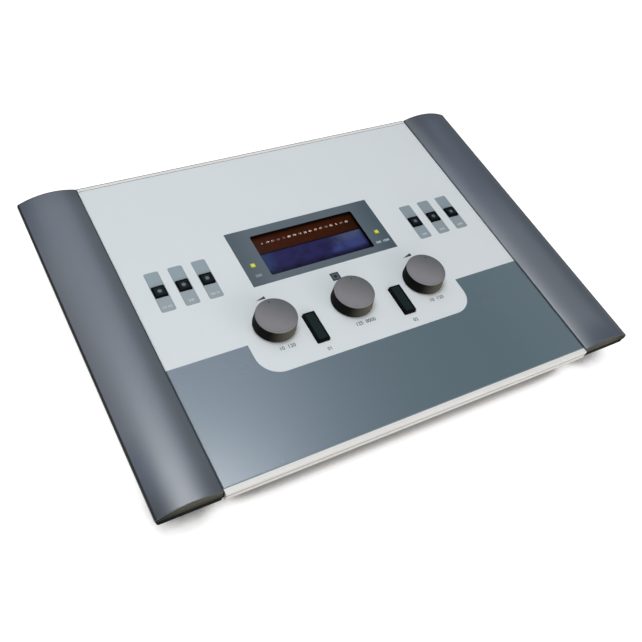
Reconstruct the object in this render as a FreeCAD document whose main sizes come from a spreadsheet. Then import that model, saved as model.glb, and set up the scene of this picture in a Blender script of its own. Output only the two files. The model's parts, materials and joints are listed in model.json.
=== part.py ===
import FreeCAD, Part
import Sketcher
import os

os.makedirs("parts", exist_ok=True)
doc = FreeCAD.newDocument("Audiometer")

# Driving sizes in millimetres and degrees. Panel sizes are measured on the tilted panel, whose
# zero is the middle of the film's front edge on its top face: x right, y rearwards, z out of it.
sizes = {
    # white case
    "caseWidth": 300,
    "filmDepth": 264.5,
    "panelTilt": 7,
    "panelHeight": 27,
    "frontRim": 4.6,
    "rearRim": 3.6,
    "rearLine": 0.4,
    "sideRim": 0.5,
    "rimEdge": 0.8,
    "filmThickness": 0.5,
    "filmClearance": 0.1,
    "plateThickness": 2.4,
    "caseWall": 2.5,
    "partingDepth": 2.8,
    "partingGap": 0.7,
    "lipDepth": 7.8,
    "lipInset": 0.05,
    "seamBossRadius": 2.8,
    "seamScrewReach": 83,
    "seamFrontPlace": 2.2,
    "seamRearPlace": 6.2,
    # wedge under the case
    "footHeight": 3,
    "footRadius": 8,
    "footEdge": 0.8,
    "footReach": 118,
    "footSetIn": 18,
    "wedgeFront": 6.4,
    "wedgeRear": 12,
    "wedgeSide": 8,
    "wedgeCorner": 4,
    "wedgeEdge": 1.2,
    "floorBossHeight": 5,
    "labelRecessWidth": 84,
    "labelRecessDepth": 46,
    "labelRecess": 0.3,
    "ventSlotWidth": 2,
    "ventSlotPitch": 5,
    # side wings
    "wingGap": 0.4,
    "wingWidth": 44.6,
    "wingEndInset": 1.2,
    "wingArc": 56,
    "wingInnerHeight": 1.2,
    "wingOuterDrop": 2,
    "wingLip": 2.4,
    "wingSkirt": 5.6,
    "wingLipSlope": 1.2,
    "wingWall": 2.5,
    "wingCorner": 1.5,
    "wingEdge": 0.7,
    "wingBaseThickness": 3.4,
    "wingBaseInset": 0.2,
    "wingTongue": 7.4,
    "wingTongueSetIn": 24,
    "wingBossRadius": 3.4,
    "wingBossLength": 8.4,
    "wingScrewPlace": 21,
    "wingScrewReach": 105,
    "wingScrewLength": 5.4,
    # display
    "windowWidth": 90.8,
    "windowDepth": 40,
    "windowPlace": 162.7,
    "windowRecess": 3.2,
    "windowCorner": 1.5,
    "lensThickness": 2,
    "lensLip": 0.8,
    "frameWall": 1.6,
    "frameFlange": 2.5,
    "frameDepth": 4.7,
    "cellMargin": 2,
    "cellThickness": 2.6,
    "holderWall": 3,
    "holderFloor": 1.6,
    "displayBoardWidth": 103,
    "displayBoardDepth": 54,
    "spacerRadius": 2.5,
    # indicator lights
    "lightSize": 4,
    "lightProud": 0.2,
    "lightReach": 54.9,
    "lightPlace": 155.9,
    # knobs and encoders
    "knobPitch": 64.4,
    "knobPlace": 101.1,
    "knobTopRadius": 15.1,
    "knobBaseRadius": 15.9,
    "knobHeight": 10.9,
    "knobRise": 0.5,
    "knobWall": 2,
    "knobTopWall": 2,
    "knobEdge": 0.5,
    "knobHubRadius": 5.4,
    "knobMarkPlace": 12.4,
    "knobMarkLength": 2.2,
    "knobMarkWidth": 0.8,
    "knobMarkDepth": 0.3,
    "shaftRadius": 3,
    "shaftFlat": 0.7,
    "runningClearance": 0.05,
    "bushRadius": 3.5,
    "bushProud": 1.9,
    "encoderSize": 12.5,
    "encoderHeight": 6.5,
    "nutAcross": 10,
    "nutThickness": 2,
    "nutHoleMargin": 0.6,
    # push buttons
    "stripPitch": 18.2,
    "stripReach": 110.4,
    "buttonPlace": 155.2,
    "buttonWidth": 9.6,
    "buttonDepth": 9.9,
    "buttonProud": 1.1,
    "buttonEdge": 0.5,
    "buttonGap": 0.3,
    "buttonTravel": 1,
    "buttonCollar": 1.2,
    "stemWidth": 3.8,
    "stemGap": 0.25,
    "stemEngagement": 1,
    "switchSize": 12,
    "switchHeight": 5,
    # interrupter keys
    "keyReach": 37.3,
    "keyPlace": 88.3,
    "keyWidth": 9.4,
    "keyLength": 25.4,
    "keyProud": 2.7,
    "keyBody": 8.5,
    "keyEdge": 0.6,
    "keyGap": 0.6,
    "keyInset": 1.2,
    "keyInsetDepth": 0.3,
    "keyTravel": 3.5,
    "pivotRadius": 1.5,
    "pivotSetIn": 4,
    "pivotDrop": 6.2,
    "pinClearance": 0.02,
    "pinOverhang": 0.25,
    "earGap": 0.3,
    "earThickness": 1.4,
    "earHalfDepth": 3.2,
    "bracketFloor": 1.2,
    "keySwitchLength": 12,
    "keySwitchWidth": 6,
    "keySwitchHeight": 2.6,
    "plungerRadius": 1,
    "plungerGap": 0.1,
    # boards and what they carry
    "boardThickness": 1.6,
    "controlBoardDrop": 14,
    "controlBoardWidth": 276,
    "controlBoardFront": 62,
    "controlBoardRear": 198,
    "boardScrewInset": 4,
    "bossRadius": 3.3,
    "screwRadius": 1.2,
    "screwHeadRadius": 2.3,
    "screwHeadHeight": 1.2,
    "screwLength": 7,
    "screwBore": 8,
    "threadClearance": 0.1,
    "holeClearance": 0.4,
    "mainBoardWidth": 210,
    "mainBoardFront": -32,
    "mainBoardRear": 98,
    "chipSize": 20,
    "chipHeight": 2.2,
    "capacitorRadius": 5,
    "capacitorHeight": 16,
    "tallPartPlace": 84,
    "transformerWidth": 21,
    "transformerDepth": 16,
    "transformerHeight": 14,
    "coreThickness": 4,
    "sinkWidth": 24,
    "sinkHeight": 15,
    "sinkBase": 3,
    "finThickness": 1.4,
    "finPitch": 4.2,
    "headerWidth": 28,
    "headerDepth": 6,
    "headerHeight": 5,
    "headerPlace": 60,
    "headerPanelPlace": 150,
    "ribbonWidth": 25,
    "ribbonThickness": 1,
    # monitor speaker
    "speakerPlace": -80,
    "speakerSetIn": 42,
    "speakerRadius": 20,
    "speakerRim": 2,
    "speakerHeight": 10,
    "magnetRadius": 9,
    "magnetHeight": 4,
    "coneThickness": 0.4,
    # rear connectors
    "connectorPlateWidth": 224,
    "connectorPlateHeight": 30,
    "connectorPlateThickness": 1.5,
    "connectorMiddle": 26,
    "rearWindowWidth": 208,
    "rearWindowHeight": 22,
    "jackRadius": 3.25,
    "jackBushRadius": 4.6,
    "jackBushProud": 3,
    "jackBodyWidth": 16,
    "jackBodyHeight": 14,
    "jackBodyLength": 20,
    "jackBoreLength": 20,
    "jackPitch": 24,
    "jackFirst": -90,
    "jackNutAcross": 12.5,
    "jackNutThickness": 2,
    "bushClearance": 0.1,
    "inletPlace": 90,
    "inletRadius": 2.9,
    "inletBushRadius": 4.2,
    "inletPinRadius": 1,
    "inletBoreLength": 9,
    "portPlace": 50,
    "portFlangeWidth": 31,
    "portFlangeHeight": 12.5,
    "portWidth": 17,
    "portHeight": 9,
    "portProud": 5,
    "portContactRadius": 0.55,
    "portContactPitch": 2.8,
}

sheet = doc.addObject("Spreadsheet::Sheet", "Sizes")
for row, (name, number) in enumerate(sizes.items(), start=1):
    sheet.set(f"A{row}", name)
    sheet.set(f"B{row}", str(number))
    sheet.setAlias(f"B{row}", name)
doc.recompute()


class Term:
    """A formula on sheet cells, put together with ordinary operators."""

    def __init__(self, formula):
        self.formula = formula

    def __add__(self, other):
        return Term(f"({self.formula} + {formulaOf(other)})")

    def __radd__(self, other):
        return Term(f"({formulaOf(other)} + {self.formula})")

    def __sub__(self, other):
        return Term(f"({self.formula} - {formulaOf(other)})")

    def __rsub__(self, other):
        return Term(f"({formulaOf(other)} - {self.formula})")

    def __mul__(self, other):
        return Term(f"({self.formula} * {formulaOf(other)})")

    def __rmul__(self, other):
        return Term(f"({formulaOf(other)} * {self.formula})")

    def __truediv__(self, other):
        return Term(f"({self.formula} / {formulaOf(other)})")

    def __neg__(self):
        return Term(f"(0 - {self.formula})")


class Sizes:
    """Gives the cell of that alias as a Term."""

    def __getattr__(self, alias):
        if alias not in sizes:
            raise AttributeError(alias)
        return Term(f"Sizes.{alias}")


def formulaOf(amount):
    return amount.formula if isinstance(amount, Term) else f"({amount})"


def number(amount):
    """The present value of a term or a plain number."""
    result = sheet.evalExpression(formulaOf(amount))
    return float(getattr(result, "Value", result))


def bind(item, path, amount):
    item.setExpression(path, formulaOf(amount))


size = Sizes()
cosTilt = Term("cos(Sizes.panelTilt * 1 deg)")
sinTilt = Term("sin(Sizes.panelTilt * 1 deg)")
half = 0.5
tiny = 0.3  # how far one feature reaches into the one it is fused to

# The case's length on the panel, and the middle of its footprint put over the origin.
caseRear = size.filmDepth + size.rearLine + size.rearRim
caseLength = caseRear + size.frontRim
caseMiddle = (caseRear - size.frontRim) * half
footprintRear = (caseRear - size.lipInset) * cosTilt + size.lipDepth * sinTilt
panelStart = (size.frontRim * cosTilt - footprintRear) * half


def tableY(y, z):
    """Place along the table of a spot y rearwards and z above the panel."""
    return panelStart + y * cosTilt - z * sinTilt


def tableZ(y, z):
    """Height above the table of a spot y rearwards and z above the panel."""
    return size.panelHeight + y * sinTilt + z * cosTilt


# ---- features ----

def newBody(label):
    body = doc.addObject("PartDesign::Body", label)
    body.Label = label
    return body


def sketchOn(body, name, role, level=0):
    """An empty sketch on one of the body's own planes, raised by level along the plane's normal."""
    sketch = body.newObject("Sketcher::SketchObject", f"{body.Label}_{name}")
    plane = [feature for feature in body.Origin.OriginFeatures if feature.Role == role][0]
    sketch.AttachmentSupport = [(plane, "")]
    sketch.MapMode = "FlatFace"
    bind(sketch, "AttachmentOffset.Base.z", level)
    return sketch


def sketchOnPanel(body, name, level):
    """A sketch parallel to the tilted panel, for a body that stands square on the table."""
    sketch = sketchOn(body, name, "XY_Plane")
    sketch.AttachmentOffset = FreeCAD.Placement(
        FreeCAD.Vector(0, 0, 0), FreeCAD.Rotation(FreeCAD.Vector(1, 0, 0), number(size.panelTilt)))
    bind(sketch, "AttachmentOffset.Rotation.Angle", size.panelTilt)
    bind(sketch, "AttachmentOffset.Base.y", tableY(0, level))
    bind(sketch, "AttachmentOffset.Base.z", tableZ(0, level))
    return sketch


def pinPoint(sketch, edge, end, x, y):
    """Fixes one end of an edge to x and y from the sketch's origin."""
    for kind, amount in (("DistanceX", x), ("DistanceY", y)):
        index = sketch.addConstraint(Sketcher.Constraint(kind, -1, 1, edge, end, number(amount)))
        bind(sketch, f"Constraints[{index}]", amount)


def fixRadius(sketch, edge, radius):
    index = sketch.addConstraint(Sketcher.Constraint("Radius", edge, number(radius)))
    bind(sketch, f"Constraints[{index}]", radius)


def arcBetween(start, end, radius):
    """The short arc from start to end: it turns left for a positive radius, right for a negative one."""
    first, last = (start, end) if radius > 0 else (end, start)
    chord = last - first
    reach = (radius ** 2 - (chord.Length / 2) ** 2) ** 0.5
    inward = FreeCAD.Vector(-chord.y, chord.x, 0).normalize()
    centre = (first + last) * half + inward * reach
    circle = Part.Circle(centre, FreeCAD.Vector(0, 0, 1), abs(radius))
    return Part.ArcOfCircle(circle, circle.parameter(first), circle.parameter(last))


def addOutline(sketch, corners):
    """A closed outline. A corner is (x, y), or (x, y, radius) where an arc leads to the next corner."""
    spots = [FreeCAD.Vector(number(corner[0]), number(corner[1]), 0) for corner in corners]
    edges = []
    for index, corner in enumerate(corners):
        start = spots[index]
        end = spots[(index + 1) % len(spots)]
        turn = number(corner[2]) if len(corner) == 3 else 0
        shape = arcBetween(start, end, turn) if turn else Part.LineSegment(start, end)
        edge = sketch.addGeometry(shape, False)
        edges.append((edge, 2, 1) if turn < 0 else (edge, 1, 2))
    for index, (edge, first, last) in enumerate(edges):
        following, followingFirst, _ = edges[(index + 1) % len(edges)]
        sketch.addConstraint(Sketcher.Constraint("Coincident", edge, last, following, followingFirst))
        pinPoint(sketch, edge, first, corners[index][0], corners[index][1])
        if len(corners[index]) == 3:
            turn = corners[index][2]
            fixRadius(sketch, edge, turn if number(turn) > 0 else -turn)


def addBox(sketch, x, y, width, depth):
    """A rectangle centred on x and y."""
    left, right = x - width * half, x + width * half
    front, rear = y - depth * half, y + depth * half
    addOutline(sketch, [(left, front), (right, front), (right, rear), (left, rear)])


def addRoundedBox(sketch, x, y, width, depth, corner):
    left, right = x - width * half, x + width * half
    front, rear = y - depth * half, y + depth * half
    addOutline(sketch, [
        (left + corner, front), (right - corner, front, corner), (right, front + corner),
        (right, rear - corner, corner), (right - corner, rear), (left + corner, rear, corner),
        (left, rear - corner), (left, front + corner, corner)])


def addRound(sketch, x, y, radius):
    centre = FreeCAD.Vector(number(x), number(y), 0)
    circle = Part.Circle(centre, FreeCAD.Vector(0, 0, 1), number(radius))
    edge = sketch.addGeometry(circle, False)
    pinPoint(sketch, edge, 3, x, y)
    fixRadius(sketch, edge, radius)


def addHexagon(sketch, x, y, across):
    """A hexagon with two flats square to the sketch's y."""
    reach = across * (1 / 3 ** 0.5)
    flat = across * half
    side = reach * half
    addOutline(sketch, [(x + reach, y), (x + side, y + flat), (x - side, y + flat),
                        (x - reach, y), (x - side, y - flat), (x + side, y - flat)])


def extrude(kind, body, sketch, length, reverse, centred):
    feature = body.newObject(f"PartDesign::{kind}", f"{sketch.Name}_{kind.lower()}")
    feature.Profile = sketch
    feature.Type = "Length"
    feature.SideType = "Symmetric" if centred else "One side"
    bind(feature, "Length", length)
    feature.Reversed = reverse
    body.Tip = feature
    return feature


def pad(body, sketch, length, reverse=False, centred=False):
    """Adds material along the sketch's normal, or against it."""
    return extrude("Pad", body, sketch, length, reverse, centred)


def pocket(body, sketch, length, reverse=False, centred=False):
    """Cuts against the sketch's normal, or along it when reversed."""
    before = bodyVolume(body)
    feature = extrude("Pocket", body, sketch, length, reverse, centred)
    if bodyVolume(body) >= before:
        raise RuntimeError(f"{feature.Name} cuts nothing")
    return feature


def bodyVolume(body):
    doc.recompute()
    return body.Shape.Volume


def revolve(body, sketch):
    """Turns a half section, drawn on the XZ plane, about the body's Z axis."""
    feature = body.newObject("PartDesign::Revolution", f"{sketch.Name}_revolution")
    feature.Profile = sketch
    feature.ReferenceAxis = (sketch, ["V_Axis"])
    feature.Angle = 360
    body.Tip = feature
    return feature


def edgesWhere(shape, chosen):
    """Names of the edges whose middle and direction pass the test."""
    names = []
    for index, edge in enumerate(shape.Edges, start=1):
        middle = edge.valueAt((edge.FirstParameter + edge.LastParameter) / 2)
        direction = edge.tangentAt((edge.FirstParameter + edge.LastParameter) / 2)
        if chosen(middle, direction):
            names.append(f"Edge{index}")
    return names


def roundOff(body, radius, chosen):
    """Fillets the edges of the body's present tip that pass the test."""
    doc.recompute()
    tip = body.Tip
    feature = body.newObject("PartDesign::Fillet", f"{tip.Name}_fillet")
    feature.Base = (tip, edgesWhere(tip.Shape, chosen))
    bind(feature, "Radius", radius)
    body.Tip = feature
    return feature


def near(amount, term):
    return abs(amount - number(term)) < 0.01


def onPanel(body, x=0, y=0, z=0):
    """Sets a body on the tilted panel, its origin x, y, z from the panel's zero."""
    body.Placement = FreeCAD.Placement(
        FreeCAD.Vector(0, 0, 0), FreeCAD.Rotation(FreeCAD.Vector(1, 0, 0), number(size.panelTilt)))
    bind(body, "Placement.Rotation.Angle", size.panelTilt)
    bind(body, "Placement.Base.x", x + 0 * size.caseWidth)
    bind(body, "Placement.Base.y", tableY(y, z))
    bind(body, "Placement.Base.z", tableZ(y, z))
    return body


def placedAt(body, x, y, z):
    """Sets a body square on the table."""
    bind(body, "Placement.Base.x", x)
    bind(body, "Placement.Base.y", y)
    bind(body, "Placement.Base.z", z)
    return body


def screws(label, spots, top, length, upsideDown=False):
    """Pan-head screws with a cross recess: heads start at top, shanks run the other way."""
    body = newBody(label)
    heads = sketchOn(body, "heads", "XY_Plane", top)
    for x, y in spots:
        addRound(heads, x, y, size.screwHeadRadius)
    pad(body, heads, size.screwHeadHeight, reverse=upsideDown)
    shanks = sketchOn(body, "shanks", "XY_Plane", top)
    for x, y in spots:
        addRound(shanks, x, y, size.screwRadius)
    pad(body, shanks, length, reverse=not upsideDown)
    headFace = top - size.screwHeadHeight if upsideDown else top + size.screwHeadHeight
    recesses = sketchOn(body, "recesses", "XY_Plane", headFace)
    arm = size.screwHeadRadius * half
    slot = size.screwHeadRadius * 0.15
    for x, y in spots:
        addOutline(recesses, [
            (x - arm, y - slot), (x - slot, y - slot), (x - slot, y - arm), (x + slot, y - arm),
            (x + slot, y - slot), (x + arm, y - slot), (x + arm, y + slot), (x + slot, y + slot),
            (x + slot, y + arm), (x - slot, y + arm), (x - slot, y + slot), (x - arm, y + slot)])
    pocket(body, recesses, size.screwHeadHeight * half, reverse=upsideDown)
    return body


# ---- places shared by several pieces ----

filmWidth = size.caseWidth - size.sideRim * 2 - size.filmClearance * 2
frameWidth = size.windowWidth + size.frameWall * 2
frameLength = size.windowDepth + size.frameWall * 2
windowMiddle = size.windowPlace
knobSpots = {"left": -size.knobPitch, "center": 0 * size.knobPitch, "right": size.knobPitch}
keySpots = {"left": -size.keyReach, "right": size.keyReach}
buttonSpots = [side * (size.stripReach + place * size.stripPitch)
               for side, places in ((-1, (1, 0, -1)), (1, (-1, 0, 1))) for place in places]
lightSpots = [-size.lightReach, size.lightReach]

caseInnerWidth = size.caseWidth - size.caseWall * 2
caseInnerLength = caseLength - size.caseWall * 2
wedgeWidth = size.caseWidth - size.wedgeSide * 2
wedgeInnerWidth = wedgeWidth - size.caseWall * 2
boardTop = -size.controlBoardDrop
boardBottom = boardTop - size.boardThickness
controlBoardLength = size.controlBoardRear - size.controlBoardFront
controlBoardMiddle = (size.controlBoardRear + size.controlBoardFront) * half
boardScrewX = size.controlBoardWidth * half - size.boardScrewInset
boardScrewSpots = [(x, y) for x in (-boardScrewX, 0 * boardScrewX, boardScrewX)
                   for y in (size.controlBoardFront + size.boardScrewInset,
                             size.controlBoardRear - size.boardScrewInset)]
seamTop = -(size.partingDepth + size.partingGap)
flangeThickness = size.lipDepth - size.partingDepth - size.partingGap
seamSpots = [(size.seamScrewReach * share, y) for share in (-1, -1 / 3, 1 / 3, 1)
             for y in (size.seamFrontPlace, caseRear - size.seamRearPlace)]

wedgeTopLevel = -(size.lipDepth - flangeThickness * half)
wedgeFrontWall = tableY(size.wedgeFront, -size.lipDepth)
wedgeRearWall = tableY(caseRear - size.wedgeRear, -size.lipDepth)
floorTop = size.footHeight + size.caseWall
mainBoardBottom = floorTop + size.floorBossHeight
mainBoardTop = mainBoardBottom + size.boardThickness
mainBoardLength = size.mainBoardRear - size.mainBoardFront
mainBoardMiddle = (size.mainBoardRear + size.mainBoardFront) * half
mainScrewX = size.mainBoardWidth * half - size.boardScrewInset
mainScrewSpots = [(x, y) for x in (-mainScrewX, 0 * mainScrewX, mainScrewX)
                  for y in (size.mainBoardFront + size.boardScrewInset,
                            size.mainBoardRear - size.boardScrewInset)]
speakerY = wedgeFrontWall + size.speakerSetIn

wingStart = size.caseWidth * half + size.wingGap
wingEnd = wingStart + size.wingWidth
wingFront = size.wingEndInset - size.frontRim
wingRear = caseRear - size.wingEndInset
wingLength = wingRear - wingFront
wingMiddle = (wingRear + wingFront) * half
wingBaseBottom = -(size.wingSkirt + size.wingBaseThickness)
coverScrewX = wingStart + size.wingScrewPlace
tongueScrewX = size.caseWidth * half - size.wingTongue * half
wingScrewYs = [wingMiddle + size.wingScrewReach * step for step in (-1, 0, 1)]

connectorX = size.connectorPlateWidth * half - size.boardScrewInset
connectorZ = size.connectorPlateHeight * half - size.boardScrewInset
connectorScrewSpots = [(x, size.connectorMiddle + z) for x in (-connectorX, connectorX)
                       for z in (-connectorZ, connectorZ)]
jackSpots = {"phone_jack_left": 0, "phone_jack_right": 1, "bone_jack": 2, "response_jack": 3}
jackPlaces = {name: size.jackFirst + size.jackPitch * place for name, place in jackSpots.items()}


def addPanelOpenings(sketch, windowMargin, knobRadius):
    """What both the film and the plate under it leave free for the controls."""
    addRoundedBox(sketch, 0 * windowMargin, windowMiddle, size.windowWidth + windowMargin * 2,
                  size.windowDepth + windowMargin * 2, size.windowCorner)
    for x in knobSpots.values():
        addRound(sketch, x, size.knobPlace, knobRadius)
    for x in keySpots.values():
        addBox(sketch, x, size.keyPlace, size.keyWidth + size.keyGap * 2,
               size.keyLength + size.keyGap * 2)
    for x in buttonSpots:
        addBox(sketch, x, size.buttonPlace, size.buttonWidth + size.buttonGap * 2,
               size.buttonDepth + size.buttonGap * 2)
    for x in lightSpots:
        side = size.lightSize + size.filmClearance * 2
        addBox(sketch, x, size.lightPlace, side, side)


# ---- white case and film ----

def upperCase():
    body = newBody("upper_case")
    blank = sketchOn(body, "blank", "XY_Plane")
    addBox(blank, 0 * caseMiddle, caseMiddle, size.caseWidth, caseLength)
    pad(body, blank, size.partingDepth, reverse=True)
    roundOff(body, size.rimEdge, lambda middle, direction:
             near(middle.z, 0) and abs(direction.x) > 0.9)
    cavity = sketchOn(body, "cavity", "XY_Plane", -size.partingDepth)
    addBox(cavity, 0 * caseMiddle, caseMiddle, caseInnerWidth, caseInnerLength)
    pocket(body, cavity, size.partingDepth - size.plateThickness, reverse=True)
    boardBosses = sketchOn(body, "boardBosses", "XY_Plane", -size.plateThickness + tiny)
    for x, y in boardScrewSpots:
        addRound(boardBosses, x, y, size.bossRadius)
    pad(body, boardBosses, size.controlBoardDrop - size.plateThickness + tiny, reverse=True)
    seamBosses = sketchOn(body, "seamBosses", "XY_Plane", -size.plateThickness + tiny)
    for x, y in seamSpots:
        addRound(seamBosses, x, y, size.seamBossRadius)
    pad(body, seamBosses, tiny - seamTop - size.plateThickness, reverse=True)
    boardBores = sketchOn(body, "boardBores", "XY_Plane", boardTop)
    for x, y in boardScrewSpots:
        addRound(boardBores, x, y, size.screwRadius + size.threadClearance)
    pocket(body, boardBores, size.screwBore, reverse=True)
    seamBores = sketchOn(body, "seamBores", "XY_Plane", seamTop)
    for x, y in seamSpots:
        addRound(seamBores, x, y, size.screwRadius + size.threadClearance)
    pocket(body, seamBores, size.partingDepth - size.plateThickness * half, reverse=True)
    bed = sketchOn(body, "filmBed", "XY_Plane")
    addBox(bed, 0 * caseMiddle, (size.filmDepth + size.rearLine) * half,
           size.caseWidth - size.sideRim * 2, size.filmDepth + size.rearLine)
    pocket(body, bed, size.filmThickness)
    openings = sketchOn(body, "openings", "XY_Plane")
    addPanelOpenings(openings, size.frameWall + size.filmClearance, size.bushRadius + size.bushClearance)
    pocket(body, openings, size.plateThickness)
    return onPanel(body)


def panelFilm():
    body = newBody("panel_film")
    sheetOutline = sketchOn(body, "sheet", "XY_Plane", -size.filmThickness)
    addBox(sheetOutline, 0 * filmWidth, size.filmDepth * half, filmWidth, size.filmDepth)
    pad(body, sheetOutline, size.filmThickness)
    openings = sketchOn(body, "openings", "XY_Plane")
    nutReach = size.nutAcross * (1 / 3 ** 0.5)
    addPanelOpenings(openings, 0 * size.frameWall, nutReach + size.nutHoleMargin)
    pocket(body, openings, size.filmThickness)
    return onPanel(body)


def lowerCase():
    body = newBody("lower_case")
    flange = sketchOnPanel(body, "flange", seamTop)
    addBox(flange, 0 * caseMiddle, caseMiddle, size.caseWidth - size.lipInset * 2,
           caseLength - size.lipInset * 2)
    pad(body, flange, flangeThickness, reverse=True)
    wedge = sketchOn(body, "wedge", "YZ_Plane")
    addOutline(wedge, [
        (wedgeFrontWall, size.footHeight), (wedgeRearWall, size.footHeight),
        (wedgeRearWall, tableZ(caseRear - size.wedgeRear, wedgeTopLevel)),
        (wedgeFrontWall, tableZ(size.wedgeFront, wedgeTopLevel))])
    pad(body, wedge, wedgeWidth, centred=True)
    roundOff(body, size.wedgeCorner, lambda middle, direction:
             abs(direction.z) > 0.99 and middle.z > number(size.footHeight)
             and abs(abs(middle.x) - number(wedgeWidth) / 2) < 0.01)
    roundOff(body, size.wedgeEdge, lambda middle, direction:
             near(middle.z, size.footHeight))
    hollow = sketchOn(body, "hollow", "YZ_Plane")
    innerFront = wedgeFrontWall + size.caseWall
    innerRear = wedgeRearWall - size.caseWall
    addOutline(hollow, [
        (innerFront, floorTop), (innerRear, floorTop),
        (innerRear, tableZ(caseRear - size.wedgeRear, size.caseWall)),
        (innerFront, tableZ(size.wedgeFront, size.caseWall))])
    pocket(body, hollow, wedgeInnerWidth, centred=True)
    bosses = sketchOn(body, "floorBosses", "XY_Plane", floorTop - tiny)
    for x, y in mainScrewSpots:
        addRound(bosses, x, y, size.bossRadius)
    pad(body, bosses, size.floorBossHeight + tiny)
    bores = sketchOn(body, "floorBores", "XY_Plane", mainBoardBottom)
    for x, y in mainScrewSpots:
        addRound(bores, x, y, size.screwRadius + size.threadClearance)
    pocket(body, bores, size.floorBossHeight + size.caseWall * half)
    seamHoles = sketchOnPanel(body, "seamHoles", seamTop)
    for x, y in seamSpots:
        addRound(seamHoles, x, y, size.screwRadius + size.holeClearance)
    for side in (-1, 1):
        for y in wingScrewYs:
            addRound(seamHoles, side * tongueScrewX, y, size.screwRadius + size.threadClearance)
    pocket(body, seamHoles, flangeThickness + tiny)
    rearWindow = sketchOn(body, "rearWindow", "XZ_Plane", -wedgeRearWall)
    addBox(rearWindow, 0 * size.rearWindowWidth, size.connectorMiddle, size.rearWindowWidth,
           size.rearWindowHeight)
    for x, z in connectorScrewSpots:
        addRound(rearWindow, x, z, size.screwRadius + size.threadClearance)
    pocket(body, rearWindow, size.caseWall, reverse=True)
    vents = sketchOn(body, "vents", "XY_Plane", floorTop)
    for step in range(-2, 3):
        addBox(vents, size.speakerPlace + size.ventSlotPitch * step, speakerY,
               size.ventSlotWidth, size.speakerRadius)
    pocket(body, vents, size.caseWall)
    label = sketchOn(body, "labelRecess", "XY_Plane", size.footHeight)
    addBox(label, 0 * size.labelRecessWidth, 0 * size.labelRecessDepth, size.labelRecessWidth,
           size.labelRecessDepth)
    pocket(body, label, size.labelRecess, reverse=True)
    return body


def rubberFeet():
    body = newBody("rubber_feet")
    pads = sketchOn(body, "pads", "XY_Plane")
    for x in (-size.footReach, size.footReach):
        for y in (wedgeFrontWall + size.footSetIn, wedgeRearWall - size.footSetIn):
            addRound(pads, x, y, size.footRadius)
    pad(body, pads, size.footHeight)
    roundOff(body, size.footEdge, lambda middle, direction: near(middle.z, 0))
    return body


# ---- side wings ----

def wingCover(label, side):
    """One arched cover, open below. side is -1 for the left wing and 1 for the right one."""
    body = newBody(label)
    section = sketchOn(body, "section", "XZ_Plane", -wingRear)
    addOutline(section, [
        (side * wingStart, -size.wingSkirt),
        (side * (wingEnd - size.wingLipSlope), -size.wingSkirt),
        (side * wingEnd, -(size.wingOuterDrop + size.wingLip)),
        (side * wingEnd, -size.wingOuterDrop, side * size.wingArc),
        (side * wingStart, size.wingInnerHeight)])
    pad(body, section, wingLength)
    roundOff(body, size.wingCorner, lambda middle, direction:
             abs(direction.z) > 0.9 and near(abs(middle.x), wingEnd))
    roundOff(body, size.wingEdge, lambda middle, direction:
             middle.z > number(-size.wingOuterDrop) - 0.1 and abs(direction.z) < 0.9)
    hollow = sketchOn(body, "hollow", "XZ_Plane", -wingMiddle)
    innerStart = wingStart + size.wingWall
    innerEnd = wingEnd - size.wingLipSlope - size.wingWall
    addOutline(hollow, [
        (side * innerStart, -size.wingSkirt), (side * innerEnd, -size.wingSkirt),
        (side * innerEnd, -(size.wingOuterDrop + size.wingWall),
         side * (size.wingArc - size.wingWall)),
        (side * innerStart, size.wingInnerHeight - size.wingWall)])
    pocket(body, hollow, wingLength - size.wingWall * 2, centred=True)
    bosses = sketchOn(body, "bosses", "XY_Plane", -size.wingSkirt)
    for y in wingScrewYs:
        addRound(bosses, side * coverScrewX, y, size.wingBossRadius)
    pad(body, bosses, size.wingBossLength)
    bores = sketchOn(body, "bores", "XY_Plane", -size.wingSkirt)
    for y in wingScrewYs:
        addRound(bores, side * coverScrewX, y, size.screwRadius + size.threadClearance)
    pocket(body, bores, size.screwBore, reverse=True)
    return onPanel(body)


def wingBase(label, side):
    """The black plate that closes a wing from below, with a tongue under the case."""
    body = newBody(label)
    width = size.wingWidth - size.wingLipSlope - size.wingBaseInset * 2
    middle = wingStart + size.wingBaseInset + width * half
    plate = sketchOn(body, "plate", "XY_Plane", -size.wingSkirt)
    addRoundedBox(plate, side * middle, wingMiddle, width, wingLength - size.wingBaseInset * 2,
                  size.wingCorner)
    pad(body, plate, size.wingBaseThickness, reverse=True)
    tongueEnd = wingStart + size.wingCorner + size.wingBaseInset
    tongueStart = size.caseWidth * half - size.wingTongue
    tongue = sketchOn(body, "tongue", "XY_Plane", wingBaseBottom)
    addBox(tongue, side * (tongueStart + tongueEnd) * half, wingMiddle, tongueEnd - tongueStart,
           wingLength - size.wingTongueSetIn * 2)
    pad(body, tongue, -size.lipDepth - wingBaseBottom)
    holes = sketchOn(body, "holes", "XY_Plane", -size.wingSkirt)
    for y in wingScrewYs:
        addRound(holes, side * coverScrewX, y, size.screwRadius + size.holeClearance)
        addRound(holes, side * tongueScrewX, y, size.screwRadius + size.holeClearance)
    pocket(body, holes, size.wingBaseThickness + tiny)
    return onPanel(body)


# ---- display ----

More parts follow.
